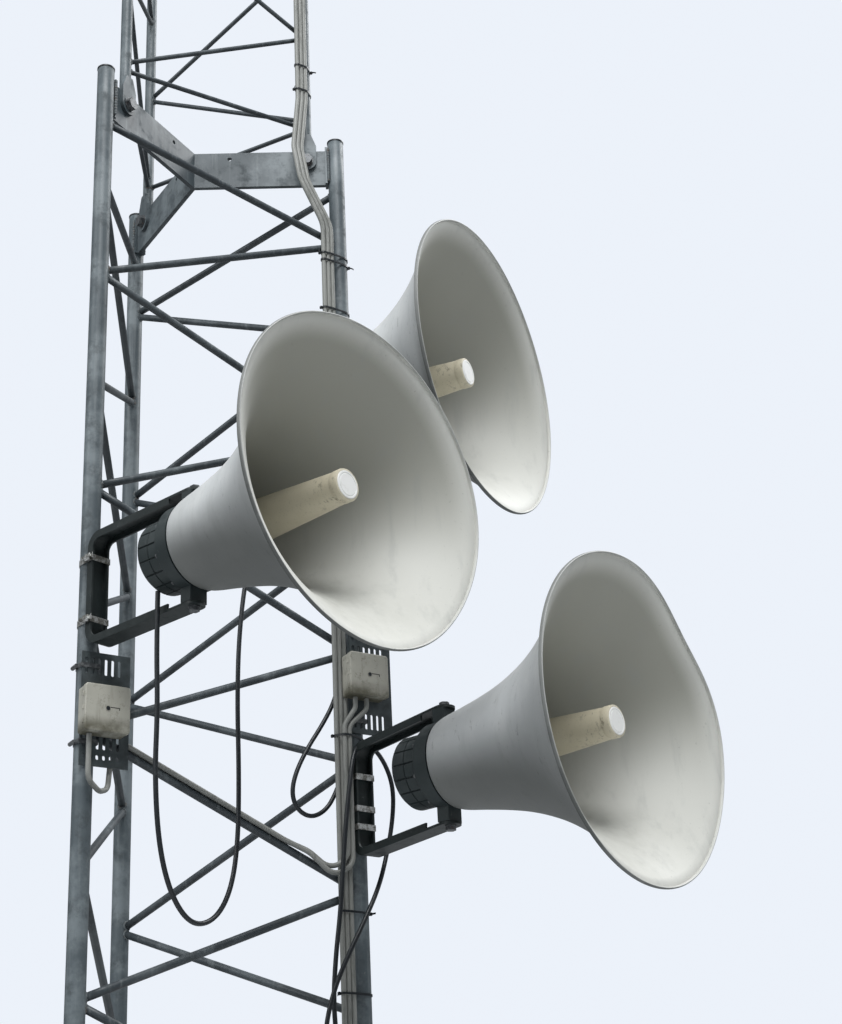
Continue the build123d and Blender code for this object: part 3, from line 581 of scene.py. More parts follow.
def tube_plastic():
    """Cream plastic with dark speckles and scuffs, dirtier by the cap."""
    f = Finish("tube_plastic", roughness=0.5, specular=0.4, colour=(0.40, 0.37, 0.29))
    tip = f.mark("tip")
    clouds = f.noise(20.0, 5.0, 0.62)
    speckles = f.blots(330.0, 3.0, 0.6, 0.60, 0.68)
    scratches = f.blots(75.0, 7.0, 0.78, 0.55, 0.64, (1.0, 1.0, 0.6)) * f.step(tip, 0.55, 0.95)
    colour = f.layers(
        f.mix(clouds, (0.520, 0.468, 0.340), (0.640, 0.592, 0.465)),
        (speckles * 0.25, (0.260, 0.240, 0.180)),
        (scratches * 0.55, (0.085, 0.075, 0.055)),
    )
    return f.done(colour, 0.42 + 0.2 * clouds, f.noise(380.0, 3.0, 0.5) - scratches, 0.2, 0.0005)


def cap_plastic():
    """The white end cap, with faint stains."""
    f = Finish("cap_plastic", roughness=0.45, specular=0.45, colour=(0.80, 0.80, 0.78))
    stains = f.blots(60.0, 6.0, 0.7, 0.54, 0.76)
    colour = f.mix(stains * 0.5, (0.830, 0.830, 0.805), (0.560, 0.550, 0.490))
    return f.done(colour, 0.40 + 0.2 * stains, f.noise(300.0, 3.0, 0.5), 0.12, 0.0004)


def dark_housing():
    """Dark grey cast housing, chalked on top and worn at its ridges."""
    f = Finish("dark_housing", roughness=0.6, specular=0.35, colour=(0.030, 0.034, 0.036))
    clouds = f.noise(16.0, 5.0, 0.62)
    chalk = f.up(-0.1, 1.0) * f.blots(36.0, 7.0, 0.72, 0.42, 0.68)
    scrapes = f.blots(190.0, 6.0, 0.72, 0.64, 0.70, (1.0, 1.0, 0.3))
    colour = f.layers(
        f.mix(clouds, (0.011, 0.017, 0.018), (0.028, 0.038, 0.039)),
        (chalk * 0.45, (0.130, 0.140, 0.142)),
        (scrapes * 0.40, (0.210, 0.215, 0.212)),
    )
    return f.done(colour, 0.48 + 0.25 * chalk, f.noise(650.0, 3.0, 0.6), 0.25, 0.0005)


def yoke_paint():
    """Matt dark paint on bent steel, dusty, rubbed pale and rusting in spots, with painted light on its
    upward faces.
    """
    f = Finish("yoke_paint", roughness=0.58, specular=0.35, colour=(0.035, 0.037, 0.038))
    clouds = f.noise(14.0, 5.0, 0.62)
    dust = f.blots(30.0, 7.0, 0.72, 0.50, 0.72)
    rust = f.blots(64.0, 8.0, 0.78, 0.62, 0.70)
    rubbed = f.blots(210.0, 5.0, 0.68, 0.67, 0.71)
    # Painted light: upward faces are lightened evenly.
    above = f.up(0.30, 0.95)
    colour = f.layers(
        f.mix(clouds, (0.006, 0.010, 0.010), (0.017, 0.024, 0.024)),
        (dust * 0.28, (0.060, 0.067, 0.067)),
        # painted light on the upward faces
        (above * 0.22, (0.090, 0.102, 0.106)),
        (rust * 0.60, (0.070, 0.042, 0.028)),
        (rubbed * 0.45, (0.230, 0.236, 0.234)),
    )
    return f.done(colour, 0.46 + 0.25 * dust, f.noise(480.0, 4.0, 0.6), 0.22, 0.0006)


def stainless():
    """Bright strap steel, brushed along and dulled by the weather."""
    f = Finish("stainless", roughness=0.30, metallic=0.85, colour=(0.66, 0.67, 0.66))
    brushed = f.noise(700.0, 3.0, 0.5, (1.0, 1.0, 6.0))
    dull = f.blots(75.0, 6.0, 0.7, 0.38, 0.58)
    colour = f.mix(dull, (0.620, 0.625, 0.615), (0.150, 0.148, 0.132))
    return f.done(colour, 0.22 + 0.12 * brushed + 0.25 * dull, brushed, 0.12, 0.0002)


def bolt_steel():
    """Dark weathered bolts: dull zinc under grime, rust in spots, bright only where rubbed."""
    f = Finish("bolt_steel", roughness=0.5, metallic=0.5, colour=(0.12, 0.125, 0.13))
    bloom = f.blots(120.0, 6.0, 0.7, 0.42, 0.68)
    rust = f.blots(75.0, 7.0, 0.76, 0.56, 0.68)
    rubbed = f.blots(160.0, 5.0, 0.7, 0.64, 0.72)
    colour = f.layers(
        f.mix(bloom, (0.070, 0.075, 0.080), (0.170, 0.178, 0.182)),
        (rust * 0.7, (0.130, 0.072, 0.042)),
        (rubbed * 0.7, (0.430, 0.440, 0.440)),
    )
    return f.done(colour, 0.36 + 0.25 * bloom, bloom, 0.2, 0.0003)


def box_plastic():
    """Warm grey box plastic with water stains, and grime and algae along its lower edges."""
    f = Finish("box_plastic", roughness=0.5, specular=0.4, colour=(0.36, 0.35, 0.30))
    clouds = f.noise(24.0, 5.0, 0.6)
    runs = f.blots(85.0, 6.0, 0.68, 0.50, 0.70, (1.0, 1.0, 0.10))
    algae = f.blots(60.0, 8.0, 0.78, 0.52, 0.68)
    height = f.axis(2)
    low = 0.0
    for middle in BOXES[:, 2].tolist():
        low = 1.0 - f.step((height - (middle - BOX_HALF)).through("ABSOLUTE"), 0.004, 0.034) + low
    colour = f.layers(
        f.mix(clouds, (0.330, 0.322, 0.275), (0.430, 0.422, 0.370)),
        (runs * 0.38, (0.190, 0.186, 0.155)),
        (algae * 0.50, (0.100, 0.104, 0.070)),
        (low * f.step(clouds, 0.20, 0.55) * 0.90, (0.062, 0.058, 0.034)),
    )
    return f.done(colour, 0.44 + 0.2 * algae, f.noise(520.0, 3.0, 0.5), 0.18, 0.0004)


def plate_paint():
    """Dark weathered galvanising on the slotted plates."""
    f = Finish("plate_paint", roughness=0.55, metallic=0.15, colour=(0.030, 0.036, 0.038))
    flakes = f.specks(55.0)
    grime = f.blots(30.0, 6.0, 0.7, 0.45, 0.72)
    chalk = f.blots(48.0, 7.0, 0.74, 0.60, 0.74)
    colour = f.layers(
        f.mix(flakes, (0.030, 0.039, 0.042), (0.068, 0.084, 0.089)),
        (grime * 0.5, (0.016, 0.019, 0.020)),
        (chalk * 0.45, (0.140, 0.150, 0.152)),
    )
    return f.done(colour, 0.45 + 0.25 * grime, f.noise(420.0, 4.0, 0.6), 0.15, 0.0004)


def grey_sheath():
    """Pale grey cable sheath with dust and dark smears along it, and painted shade on its undersides."""
    f = Finish("grey_sheath", roughness=0.55, specular=0.35, colour=(0.30, 0.305, 0.285))
    clouds = f.noise(12.0, 5.0, 0.62, (1.0, 1.0, 0.3))
    smears = f.blots(60.0, 6.0, 0.72, 0.50, 0.68, (1.0, 1.0, 0.14))
    # Painted shade: surfaces that face down are darkened.
    below = f.down(0.10, 0.95)
    colour = f.layers(
        f.mix(clouds, (0.142, 0.147, 0.137), (0.311, 0.316, 0.297)),
        (smears * 0.6, (0.085, 0.092, 0.084)),
        # painted shade on the undersides
        (below * 0.5, (0.080, 0.086, 0.080)),
    )
    return f.done(colour, 0.46 + 0.2 * smears, f.noise(300.0, 3.0, 0.5), 0.12, 0.0004)


def black_sheath():
    """Black rubber, greyed by the sun."""
    f = Finish("black_sheath", roughness=0.5, specular=0.4, colour=(0.018, 0.019, 0.021))
    clouds = f.noise(20.0, 5.0, 0.6)
    dust = f.blots(90.0, 5.0, 0.7, 0.50, 0.75)
    colour = f.layers(
        f.mix(clouds, (0.006, 0.008, 0.010), (0.016, 0.020, 0.024)),
        (dust * 0.25, (0.034, 0.041, 0.047)),
    )
    return f.done(colour, 0.38 + 0.3 * dust, f.noise(420.0, 3.0, 0.5), 0.12, 0.0003)


def pale_floor():
    """Plain pale floor."""
    f = Finish("pale_floor", roughness=0.9, specular=0.2, colour=(0.64, 0.65, 0.66))
    grain = f.mix(f.noise(3.0, 3.0, 0.5), (0.62, 0.63, 0.64), (0.66, 0.67, 0.68))
    f.feed(f.shader, {"Base Color": grain})
    return f.material


FINISHES = {
    "mast_paint": mast_paint(),
    "bell_paint": bell_paint(),
    "tube_cream": tube_plastic(),
    "dark_housing": dark_housing(),
    "yoke_paint": yoke_paint(),
    "stainless": stainless(),
    "bolt_steel": bolt_steel(),
    "box_plastic": box_plastic(),
    "plate_paint": plate_paint(),
    "cable_grey": grey_sheath(),
    "black_plastic": black_sheath(),
}
# The brace bars' darker copy of the mast paint: painted shade, standing in for the backlit look of the thin
# bars.
SHADED_BRACE_PAINT = mast_paint("brace_paint", (0.038, 0.048, 0.055), (0.082, 0.098, 0.107))
WELD = weld_metal()
CAP = cap_plastic()


def dress_cad_nodes():
    """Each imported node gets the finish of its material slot, but the pivots' bolts are dull."""
    for part in record["subparts"]:
        mesh = frame["nodes"][part["node"]].data
        mesh.materials.clear()
        slot = "bolt_steel" if part["node"] == "pivot_bolts" else part["material_slot"]
        mesh.materials.append(FINISHES[slot])


# Mast

def lower_heights():
    """Heights of the lower braces' ends, from the highest node down."""
    heights = [*FIRST_NODES, LOWER_NODE_0]
    for k in range(1, LOWER_BAYS + 1):
        heights += [LOWER_NODE_0 - k * BAY + BAY_OFFSET, LOWER_NODE_0 - k * BAY]
    return heights


def upper_heights():
    """Heights of the upper braces' ends, from the lowest node up."""
    return [UPPER_NODE_0 + half * BAY / 2.0 for half in range(2 * UPPER_BAYS + 1)]


def brace_lines(a, b, heights, rings):
    """Start and end of each bar's centre line, on the legs' centre lines."""
    lines = []
    for k, (z0, z1) in enumerate(zip(heights, heights[1:])):
        first, second = (a, b) if k % 2 == 0 else (b, a)
        spread = BAR_SPREAD if z1 > z0 else -BAR_SPREAD
        lines.append((np.array((*first, z0 + spread)), np.array((*second, z1 - spread))))
    for z in rings:
        lines.append((np.array((*a, z)), np.array((*b, z))))
    return lines


def brace_bar(line, bar_r, leg_r):
    """One round bar: a ring carried along its line from leg to leg."""
    start, end = line
    inset = (leg_r - BAR_BITE) / np.linalg.norm(end - start)
    share = np.linspace(inset, 1.0 - inset, 12)[:, None]
    return rod(start + (end - start) * share, bar_r, 24)


def weld_bead(line, at_start, bar_r, leg_r, rng):
    """A bead where a bar meets a leg: for each turn round the bar, the point where its side
    reaches the leg's surface, with a small ring of uneven size carried through those points."""
    start, end = line if at_start else line[::-1]
    ahead = unit(end - start)
    across = unit(np.cross(ahead, UP))
    over = np.cross(across, ahead)
    steps, sides = 28, 8
    turn = turns(steps)
    outward = np.cos(turn)[:, None] * across + np.sin(turn)[:, None] * over
    side = bar_r * outward
    # In plan, |side + reach * ahead| is the leg's radius.
    flat = ahead[:2]
    a = np.dot(flat, flat)
    b = side[:, :2] @ flat
    c = (side[:, :2] ** 2).sum(axis=1) - leg_r ** 2
    reach = (-b + np.sqrt(np.maximum(b * b - a * c, 0.0))) / a
    centre = start + side * 1.02 + reach[:, None] * ahead
    waves = 0.5 * MM * np.sin(turn * 9.0 + rng.uniform(0, 6))
    size = BAR_WELD_R + waves + rng.uniform(-WELD_UNEVEN, WELD_UNEVEN, steps)
    ring = turns(sides)[:, None]
    circle = np.cos(ring) * outward[:, None, :] + np.sin(ring) * ahead
    points = centre[:, None, :] + size[:, None, None] * circle
    return points.reshape(-1, 3), grid_faces(steps, sides, wrap_rows=True, wrap_columns=True)


def bracing(section, face, legs, heights, rings, bar_r, leg_r):
    """All bars of one face, and their weld beads."""
    a, b = FACES[face]
    lines = brace_lines(legs[a], legs[b], heights, rings)
    rng = np.random.default_rng(len(face) * 13 + len(section))
    bars = [brace_bar(line, bar_r, leg_r) for line in lines]
    node = section + "_bracing_" + face
    # The bars take the darker copy of the mast paint, which is painted shade.
    piece(node + "_bars", joined(bars), "mast_paint", (node,), finish=SHADED_BRACE_PAINT)
    beads = [weld_bead(line, at_start, bar_r, leg_r, rng) for line in lines for at_start in (True, False)]
    piece(node + "_welds", joined(beads), "mast_paint", finish=WELD)


def mast():
    """Legs, braces and welds of both sections."""
    for name, place in LEGS.items():
        node = "lower_leg_" + name
        piece(node + "_pipe", pipe_post(place, LEG_R, LEG_WALL, FOOT_T, LEG_TOP), "mast_paint", (node,))
    for face in FACES:
        bracing("lower", face, LEGS, lower_heights(), (BASE_RING_Z,), BAR_R, LEG_R)
        bracing("upper", face, UPPER_LEGS, upper_heights(), UPPER_RINGS, UPPER_BAR_R, UPPER_LEG_R)


def arm_welds():
    """Beads down both sides of each joint plate arm where it meets its leg, and round each foot."""
    rng = np.random.default_rng(5)
    beads = []
    steps, sides = 60, 8
    plate_low, plate_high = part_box("section_joint_plate")
    z = np.linspace(plate_low[2] + 4.0 * MM, plate_high[2] - 4.0 * MM, steps)
    turn = np.linspace(0.0, FULL_TURN, steps)
    ring_r = LEG_R + 1.0 * MM
    for place in LEGS.values():
        out = unit(place - CENTRE)
        aside = np.array((-out[1], out[0]))
        for side in (-1.0, 1.0):
            x, y = place - out * (LEG_R - 1.0 * MM) + aside * side * PLATE_ARM_HALF
            sway = rng.uniform(-0.4 * MM, 0.4 * MM, steps)
            size = ARM_WELD_R + 0.6 * MM * np.sin(z * 900.0) + rng.uniform(-WELD_UNEVEN, WELD_UNEVEN, steps)
            size[[0, -1]] = 0.8 * MM
            beads.append(rod(np.stack((x + sway, y + sway, z), axis=-1), size, sides))
        x, y = place[0] + ring_r * np.cos(turn), place[1] + ring_r * np.sin(turn)
        foot_ring = np.stack((x, y, np.full(steps, FOOT_T + 1.0 * MM)), axis=-1)
        beads.append(tube_along(foot_ring, FOOT_WELD_R + 0.5 * MM * np.sin(turn * 23.0), sides))
    piece("plate_and_foot_welds", joined(beads), "mast_paint", finish=WELD)


# Horns

def bell_outline():
    """The bell's closed section, out along the flare, round the rolled rim and back inside, and
    how far inside each of its points is."""
    back = np.linspace(0.0, FLARE[-3, 0], 70)[::-1]
    radius = smooth_through(FLARE[:-1, 0], FLARE[:-1, 1], back)
    outer = np.stack((MOUTH_X - back, radius), axis=-1)
    slope = np.gradient(outer, axis=0)
    square = unit(np.stack((-slope[:, 1], slope[:, 0]), axis=-1))
    inner = (outer - square * BELL_T)[::-1]
    turn = np.linspace(math.radians(140.0), math.radians(-110.0), 22)
    rim_r = FLARE[0, 1] + RIM_LIP + (RIM_R - RIM_LIP) * np.sin(turn)
    rim = np.stack((MOUTH_X + RIM_R * np.cos(turn), rim_r), axis=-1)
    shoulder = near(NECK_X, LIP_R, (0.0, 0.0), (0.0, 14.5), (2.0, 18.5), (5.5, 21.5))
    lip = near(NECK_X + BELL_T, LIP_R, (5.0, 18.0), (1.5, 15.5), (0.0, 11.5), (0.0, 0.0))
    outline = np.concatenate((shoulder, outer[:-1], rim, inner[1:], lip))
    outside, within = len(shoulder) + len(outer) - 1, len(inner) - 1 + len(lip)
    inside = np.concatenate((np.zeros(outside), np.linspace(0.0, 1.0, len(rim)), np.ones(within)))
    return outline, inside


def bent_rim(letter):
    """How a bell's rim is out of round: each dent or bulge is a bell-shaped bump round one turn
    that grows towards the mouth, and low waves run round the rim."""
    dents = DENTS[letter]

    def swell(x, radius, angle):
        mouthward = np.clip((x - DENT_START_X) / (MOUTH_X - DENT_START_X), 0.0, 1.0) ** 2
        for centre, width, depth in dents:
            gap = np.angle(np.exp(1j * (angle - centre)))
            radius = radius + depth * mouthward * np.exp(-((gap / width) ** 2))
        return radius + RIM_WAVE_H * (np.sin(angle * RIM_WAVES + dents[0][0]) - 1.0) * mouthward

    return swell


def bell(letter):
    """The flared shell, its section carried round the horn's axis."""
    outline, inside = bell_outline()
    shell = lathe(outline, BELL_STEPS, horn_place(letter), bent_rim(letter))
    reach = np.repeat((outline[:, 0] - NECK_X) / (MOUTH_X - NECK_X), BELL_STEPS)
    marks = {
        "rim": np.clip(reach, 0.0, 1.0),
        "neck": np.clip(1.0 - reach * 4.0, 0.0, 1.0),
        "inside": np.repeat(inside, BELL_STEPS),
    }
    piece("bell_shell_" + letter, shell, "bell_paint", ("bell_" + letter,), "horn_" + letter,
          marks=marks, crease=50.0)


def inner_tube(letter):
    """The tapered tube with its collar, and the cap's white face in it, each a profile carried
    round the axis."""
    put = horn_place(letter)
    rear = NECK_X + BELL_T
    cap_x = TUBE_X1 - TUBE_CAP_L
    root, tip = np.array((rear + 4.0 * MM, TUBE_ROOT_R)), np.array((cap_x, TUBE_TIP_R))
    shell = np.concatenate((
        near(rear, 0.0, (0.0, 2.0), (0.0, 72.5), (2.0, 72.9), (4.0, 71.5)),
        near(*root, (0.0, 3.0)),
        root + (tip - root) * np.linspace(0.0, 1.0, 30)[:, None],
        near(*tip, (0.0, 0.0)),
        near(cap_x, TUBE_CAP_R, (0.4, -0.3), (1.0, 0.0)),
        near(TUBE_X1, TUBE_CAP_R, (-4.0, 0.0), (-1.8, -0.8), (-1.0, -2.4), (-0.9, -4.1), (-5.0, -4.2)),
        near(TUBE_X1, 0.0, (-5.0, 2.0)),
    ))
    forward = np.repeat(np.clip((shell[:, 0] - SCUFF_X0) / SCUFF_L, 0.0, 1.0), TUBE_STEPS)
    piece("inner_tube_" + letter, revolved(shell, TUBE_STEPS, put), "tube_cream", ("horn_tube_" + letter,),
          "horn_" + letter, marks={"tip": forward}, crease=35.0)
    face_r = TUBE_CAP_R - 4.3 * MM
    disc = np.concatenate((
        near(TUBE_X1, 0.0, (-4.9, 2.0)),
        near(TUBE_X1, face_r, (-4.9, 0.0), (-1.0, 0.0), (0.0, -1.0)),
        near(TUBE_X1, 0.0, (0.0, 21.5), (-0.7, 20.9), (-0.7, 19.9), (0.0, 19.3), (0.0, 0.3)),
    ))
    piece("tube_cap_" + letter, revolved(disc, TUBE_STEPS, put), "tube_cream", body="horn_" + letter,
          finish=CAP, crease=35.0)


def driver(letter):
    """The drum, a profile carried round the axis with narrow grooves along its side, and the
    bolts round its flange."""
    put = horn_place(letter)
    front = RING_X0 - FLANGE_T
    side_r = DRIVER_R - 1.0 * MM
    outline = np.concatenate((
        near(DRIVER_X0, 0.0, (0.0, 0.5), (0.0, 26.0), (1.5, 27.5), (1.5, 44.0), (0.0, 45.5)),
        near(DRIVER_X0, side_r, (0.0, -13.0), (1.2, -9.5), (3.5, -6.0), (7.0, -3.0), (9.5, -0.6),
             (11.0, 0.0), (34.0, 0.0), (34.8, -1.6), (36.2, -1.6), (37.0, 0.0)),
        near(front, side_r, (-6.5, 0.0), (-5.0, -1.0), (-4.0, -6.0), (0.0, -6.0)),
        near(front, FLANGE_R, (0.0, -1.2), (1.2, 0.0)),
        near(RING_X0, FLANGE_R, (-1.2, 0.0), (0.0, -1.2)),
        near(RING_X0, 0.0, (0.0, 0.5)),
    ))
    turn = ((np.arange(GROOVES)[:, None] + GROOVE_SHARES) * (FULL_TURN / GROOVES)).ravel()
    depth = np.tile(GROOVE_DEPTHS, GROOVES)
    x, angle = np.meshgrid(outline[:, 0], turn, indexing="ij")
    # The grooves fade in behind the rounded edge and stop short of the flange and the end.
    on_side = np.clip((x - DRIVER_X0 - 6.0 * MM) / (4.0 * MM), 0.0, 1.0) * (x < front - 4.5 * MM)
    on_side *= outline[:, 1:2] > side_r - 14.0 * MM
    radius = outline[:, 1:2] - on_side * depth
    points = np.stack((x, radius * np.sin(angle), radius * np.cos(angle)), axis=-1).reshape(-1, 3)
    drum = put(points), grid_faces(len(outline), len(turn), wrap_columns=True)
    piece("driver_drum_" + letter, drum, "dark_housing", ("driver_" + letter,), "horn_" + letter, crease=28.0)
    bolts = []
    for k in range(FLANGE_BOLTS):
        angle = FULL_TURN * (k + 0.5) / FLANGE_BOLTS
        out = np.array((0.0, math.sin(angle), math.cos(angle)))
        base = out * FLANGE_BOLT_RING_R + (front - 0.4 * MM, 0.0, 0.0)
        head, faces = hex_head(base, np.array((-1.0, 0.0, 0.0)), UP, *FLANGE_BOLT_HEAD)
        bolts.append((put(head), faces))
    piece("driver_bolts_" + letter, joined(bolts), "dark_housing", body="horn_" + letter,
          finish=FINISHES["bolt_steel"], smooth=False)


def hex_head(base, ahead, side, radius, height, shoulder, top):
    """A six-sided head standing on its base along a direction, a corner towards its side. From
    the shoulder, a share of its height, it narrows to its top, a share of its radius."""
    turn = turns(6)[:, None]
    ring = np.cos(turn) * side + np.sin(turn) * np.cross(ahead, side)
    rings = [base + ahead * height * rise + ring * radius * size
             for rise, size in ((0.0, 1.0), (shoulder, 1.0), (1.0, top))]
    return capped(np.concatenate(rings), grid_faces(3, 6, wrap_columns=True), 6)


def horns():
    """The three horns."""
    for letter in AIMS:
        bell(letter)
        inner_tube(letter)
        driver(letter)


# Small fittings

def bar_box(centre, along, up, sizes, bevel):
    """A bevelled box whose length runs along one direction and its height along another."""
    across = np.cross(up, along)
    length, w, h = sizes / 2.0
    b = bevel
    rings = []
    for at, inset in ((-length, b), (-length + b, 0.0), (length - b, 0.0), (length, b)):
        x, y = w - inset, h - inset
        corners = np.array(((-x, -y + b), (-x + b, -y), (x - b, -y), (x, -y + b),
                            (x, y - b), (x - b, y), (-x + b, y), (-x, y - b)))
        rings.append(centre + at * along + corners @ np.stack((across, up)))
    return capped(np.concatenate(rings), grid_faces(4, 8, wrap_columns=True), 8)


def strip(route, up, sizes):
    """A flat strip carried along a route, its width along one direction."""
    ahead = np.gradient(route, axis=0)
    out = unit(np.cross(ahead, up))
    wide, thick = up * sizes[0] / 2.0, out * sizes[1] / 2.0
    corners = (-wide - thick, wide - thick, wide + thick, thick - wide)
    rings = np.stack([route + corner for corner in corners], axis=1)
    return capped(rings.reshape(-1, 3), grid_faces(len(route), 4, wrap_columns=True), 4)


def bands_of(node, height):
    """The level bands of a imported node, each as its plan points and its middle height."""
    mesh = frame["nodes"][node].data
    points = np.empty(len(mesh.vertices) * 3)
    mesh.vertices.foreach_get("co", points)
    points = points.reshape(-1, 3)
    play = 0.3 * MM
    lows = np.unique(np.round(points[:, 2], 4))
    return [(points[np.abs(points[:, 2] - low) < play, :2], low + height / 2.0)
            for low in lows if np.any(np.abs(lows - (low + height)) < play)]


def tie_heads():
    """The head of each cable tie and its cut-off tail, at the tie's left or right end."""
    left = np.array((-0.84, 0.54))
    rng = np.random.default_rng(11)
    share = np.linspace(0.0, 1.0, 9)[:, None]
    parts = []
    for k, (plan, z) in enumerate(bands_of("cable_ties", TIE_H)):
        reach = plan @ left
        end = plan[np.argmax(reach) if k % 3 else np.argmin(reach)]
        out = unit(np.array((*(end - plan.mean(axis=0)), 0.0)))
        front = np.array((-out[1], out[0], 0.0))
        front *= -np.sign(front[1])
        head = np.array((*end, z)) + out * 2.2 * MM
        parts.append(bar_box(head, front, UP, TIE_HEAD, 0.6 * MM))
        droop = rng.uniform(-6.0, 3.0) * MM
        tail_way = out * rng.uniform(0.4, 1.0) + front * rng.uniform(0.5, 1.0)
        tail = head + tail_way * share * rng.uniform(8.0, 20.0) * MM + UP * droop * share ** 2
        parts.append(strip(tail, UP, TIE_TAIL))
    piece("tie_heads", joined(parts), "black_plastic", smooth=False)


def clamp_screws():
    """The worm screw and its housing on each band clamp, and the band's free end beside it."""
    rng = np.random.default_rng(3)
    share = np.linspace(0.0, 1.0, 10)[:, None]
    screw_run = np.linspace(-11.0, 10.0, 6)[:, None] * MM
    parts = []
    for plan, z in bands_of("band_clamps", BAND_H):
        leg = min(LEGS.values(), key=lambda place: np.linalg.norm(plan.mean(axis=0) - place))
        letter = min(PIVOTS, key=lambda key: abs(PIVOTS[key][2] - z))
        aim = math.radians(AIMS[letter])
        out = np.array((math.cos(aim), math.sin(aim), 0.0))
        side = np.array((-out[1], out[0], 0.0)) * (-1.0 if letter == "a" else 1.0)
        edge = (plan - leg) @ side[:2]
        flat_side = plan[edge > edge.max() - 0.6 * MM]
        reach = ((flat_side - leg) @ out[:2]).mean()
        middle = np.array((*leg, z)) + out * reach + side * (edge.max() + 3.4 * MM)
        parts.append(bar_box(middle, out, UP, SCREW_HOUSING, 1.0 * MM))
        screw = middle + side * 1.4 * MM
        parts.append(rod(screw + out * screw_run, SCREW_R, 16))
        parts.append(hex_head(screw + out * screw_run[0], -out, side, *SCREW_HEAD))
        lift = rng.uniform(3.0, 8.0) * MM
        ahead = 4.0 * MM + share * rng.uniform(12.0, 18.0) * MM
        parts.append(strip(middle - side * 2.8 * MM + out * ahead + side * share ** 2 * lift, UP, BAND_TAIL))
    piece("clamp_screws", joined(parts), "stainless", crease=25.0)


def box_marks():
    """On each lid: the lock's dot, the bent line beside it as dark bars of painted shade for an engraved
    groove, and the hinge lugs at its left edge.
    """
    right, inward = np.array((1.0, 0.0, 0.0)), np.array((0.0, 1.0, 0.0))
    dot_run = inward * np.linspace(-1.3, -0.5, 3)[:, None] * MM
    # The bent line's dark strokes are painted shade, standing in for the shade of an engraved groove.
    groove_shade_strokes = (((14.0, -0.1, 2.2), right, UP, 18.0), ((22.4, -0.1, 0.2), UP, right, 5.0))
    dark = []
    lugs = []
    for front in BOXES:
        dark.append(rod(front + dot_run, LOCK_DOT_R, 20))
        for offset, along, up, length in groove_shade_strokes:
            stroke = np.array((length, 0.6, 1.3)) * MM
            dark.append(bar_box(front + np.array(offset) * MM, along, up, stroke, 0.1 * MM))
        for rise in HINGE_RISES:
            lugs.append(bar_box(front + HINGE_AT + UP * rise, UP, right, HINGE_LUG, 0.6 * MM))
    piece("lid_marks", joined(dark), "box_plastic", finish=FINISHES["black_plastic"], smooth=False)
    piece("lid_lugs", joined(lugs), "box_plastic", smooth=False)


# Cords

def cord_curve(name, route, node):
    """A free cord: a smooth curve whose control points are the route's."""
    curve = bpy.data.curves.new(name, "CURVE")
    curve.dimensions = "3D"
    curve.bevel_depth = CORD_R
    curve.bevel_resolution = 4
    curve.use_fill_caps = True
    spline = curve.splines.new("NURBS")
    spline.points.add(len(route) - 1)
    points = np.array(route) * MM
    spline.points.foreach_set("co", np.concatenate((points, np.ones((len(points), 1))), axis=1).ravel())
    spline.order_u = 3
    spline.use_endpoint_u = True
    spline.resolution_u = 8
    curve.materials.append(FINISHES["black_plastic"])
    made = added(name, curve)
    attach(made, BODY)
    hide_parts(node)


def cords():
    """The three free cords."""
    cord_curve("driver_cord", DRIVER_CORD, "black_cord_driver")
    cord_curve("leg_cord", LEG_CORD, "black_cord_leg")
    cord_curve("yoke_cord", YOKE_CORD, "black_cord_yoke")


# Stage

def lamp(name, place, target, power, size, colour):
    """A square soft lamp that looks at a target."""
    data = bpy.data.lights.new(name, "AREA")
    data.energy = power
    data.size = size
    data.color = colour
    made = added(name, data)
    made.location = place
    made.rotation_euler = look_matrix(unit(np.array(target) - place)).to_euler()


def look_matrix(ahead, roll=0.0):
    """The turn that points an object's own -Z along a direction, with its own Y up, rolled."""
    across = unit(np.cross(ahead, UP))
    over = np.cross(across, ahead)
    turned = math.cos(roll) * across + math.sin(roll) * over
    upward = -math.sin(roll) * across + math.cos(roll) * over
    return Matrix(np.stack((turned, upward, -ahead), axis=1).tolist())


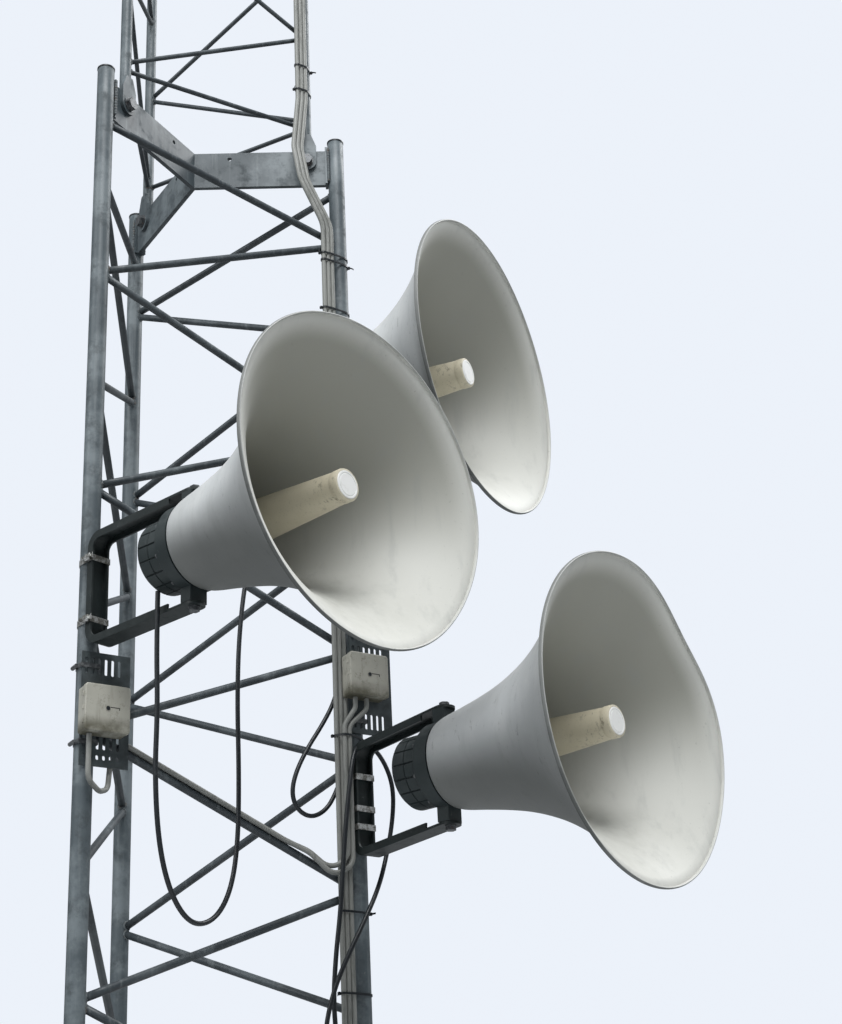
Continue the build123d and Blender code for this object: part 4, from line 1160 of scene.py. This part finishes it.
def stage():
    """Pale floor, soft lamps, a pale surround and the photograph's camera."""
    mesh = bpy.data.meshes.new("floor")
    corners = [(x * FLOOR_HALF, y * FLOOR_HALF, 0.0) for x, y in ((-1, -1), (1, -1), (1, 1), (-1, 1))]
    mesh.from_pydata(corners, [], [(0, 1, 2, 3)])
    mesh.materials.append(pale_floor())
    added("floor", mesh)
    for name, facts in LAMPS.items():
        lamp(name, *facts)
    world = bpy.data.worlds.new("surround")
    bpy.context.scene.world = world
    world.use_nodes = True
    tree = world.node_tree
    tree.nodes.clear()
    rays = tree.nodes.new("ShaderNodeLightPath")
    chosen = tree.nodes.new("ShaderNodeMixShader")
    out = tree.nodes.new("ShaderNodeOutputWorld")
    tree.links.new(rays.outputs["Is Camera Ray"], chosen.inputs[0])
    # What lights the object, then what the camera sees behind it.
    for socket, colour, strength in ((1, (0.86, 0.90, 0.95, 1.0), 0.33), (2, (0.84, 0.885, 0.955, 1.0), 1.0)):
        shade = tree.nodes.new("ShaderNodeBackground")
        shade.inputs["Color"].default_value = colour
        shade.inputs["Strength"].default_value = strength
        tree.links.new(shade.outputs[0], chosen.inputs[socket])
    tree.links.new(chosen.outputs[0], out.inputs[0])
    camera = added("camera", bpy.data.cameras.new("camera"))
    camera.data.sensor_fit = "HORIZONTAL"
    camera.data.sensor_width = SENSOR_WIDTH
    camera.data.lens = FOCAL_PIXELS / IMAGE_WIDTH * SENSOR_WIDTH
    camera.data.clip_end = 200.0
    azimuth, pitch = math.radians(CAMERA_AZIMUTH), math.radians(CAMERA_PITCH)
    level = math.cos(pitch)
    ahead = np.array((math.sin(azimuth) * level, math.cos(azimuth) * level, math.sin(pitch)))
    matrix = look_matrix(ahead, math.radians(CAMERA_ROLL)).to_4x4()
    matrix.translation = CAMERA_AT
    camera.matrix_world = matrix
    bpy.context.scene.camera = camera
    bpy.context.scene.view_settings.view_transform = "Standard"


dress_cad_nodes()
mast()
arm_welds()
horns()
tie_heads()
clamp_screws()
box_marks()
cords()
stage()

bpy.context.view_layer.update()
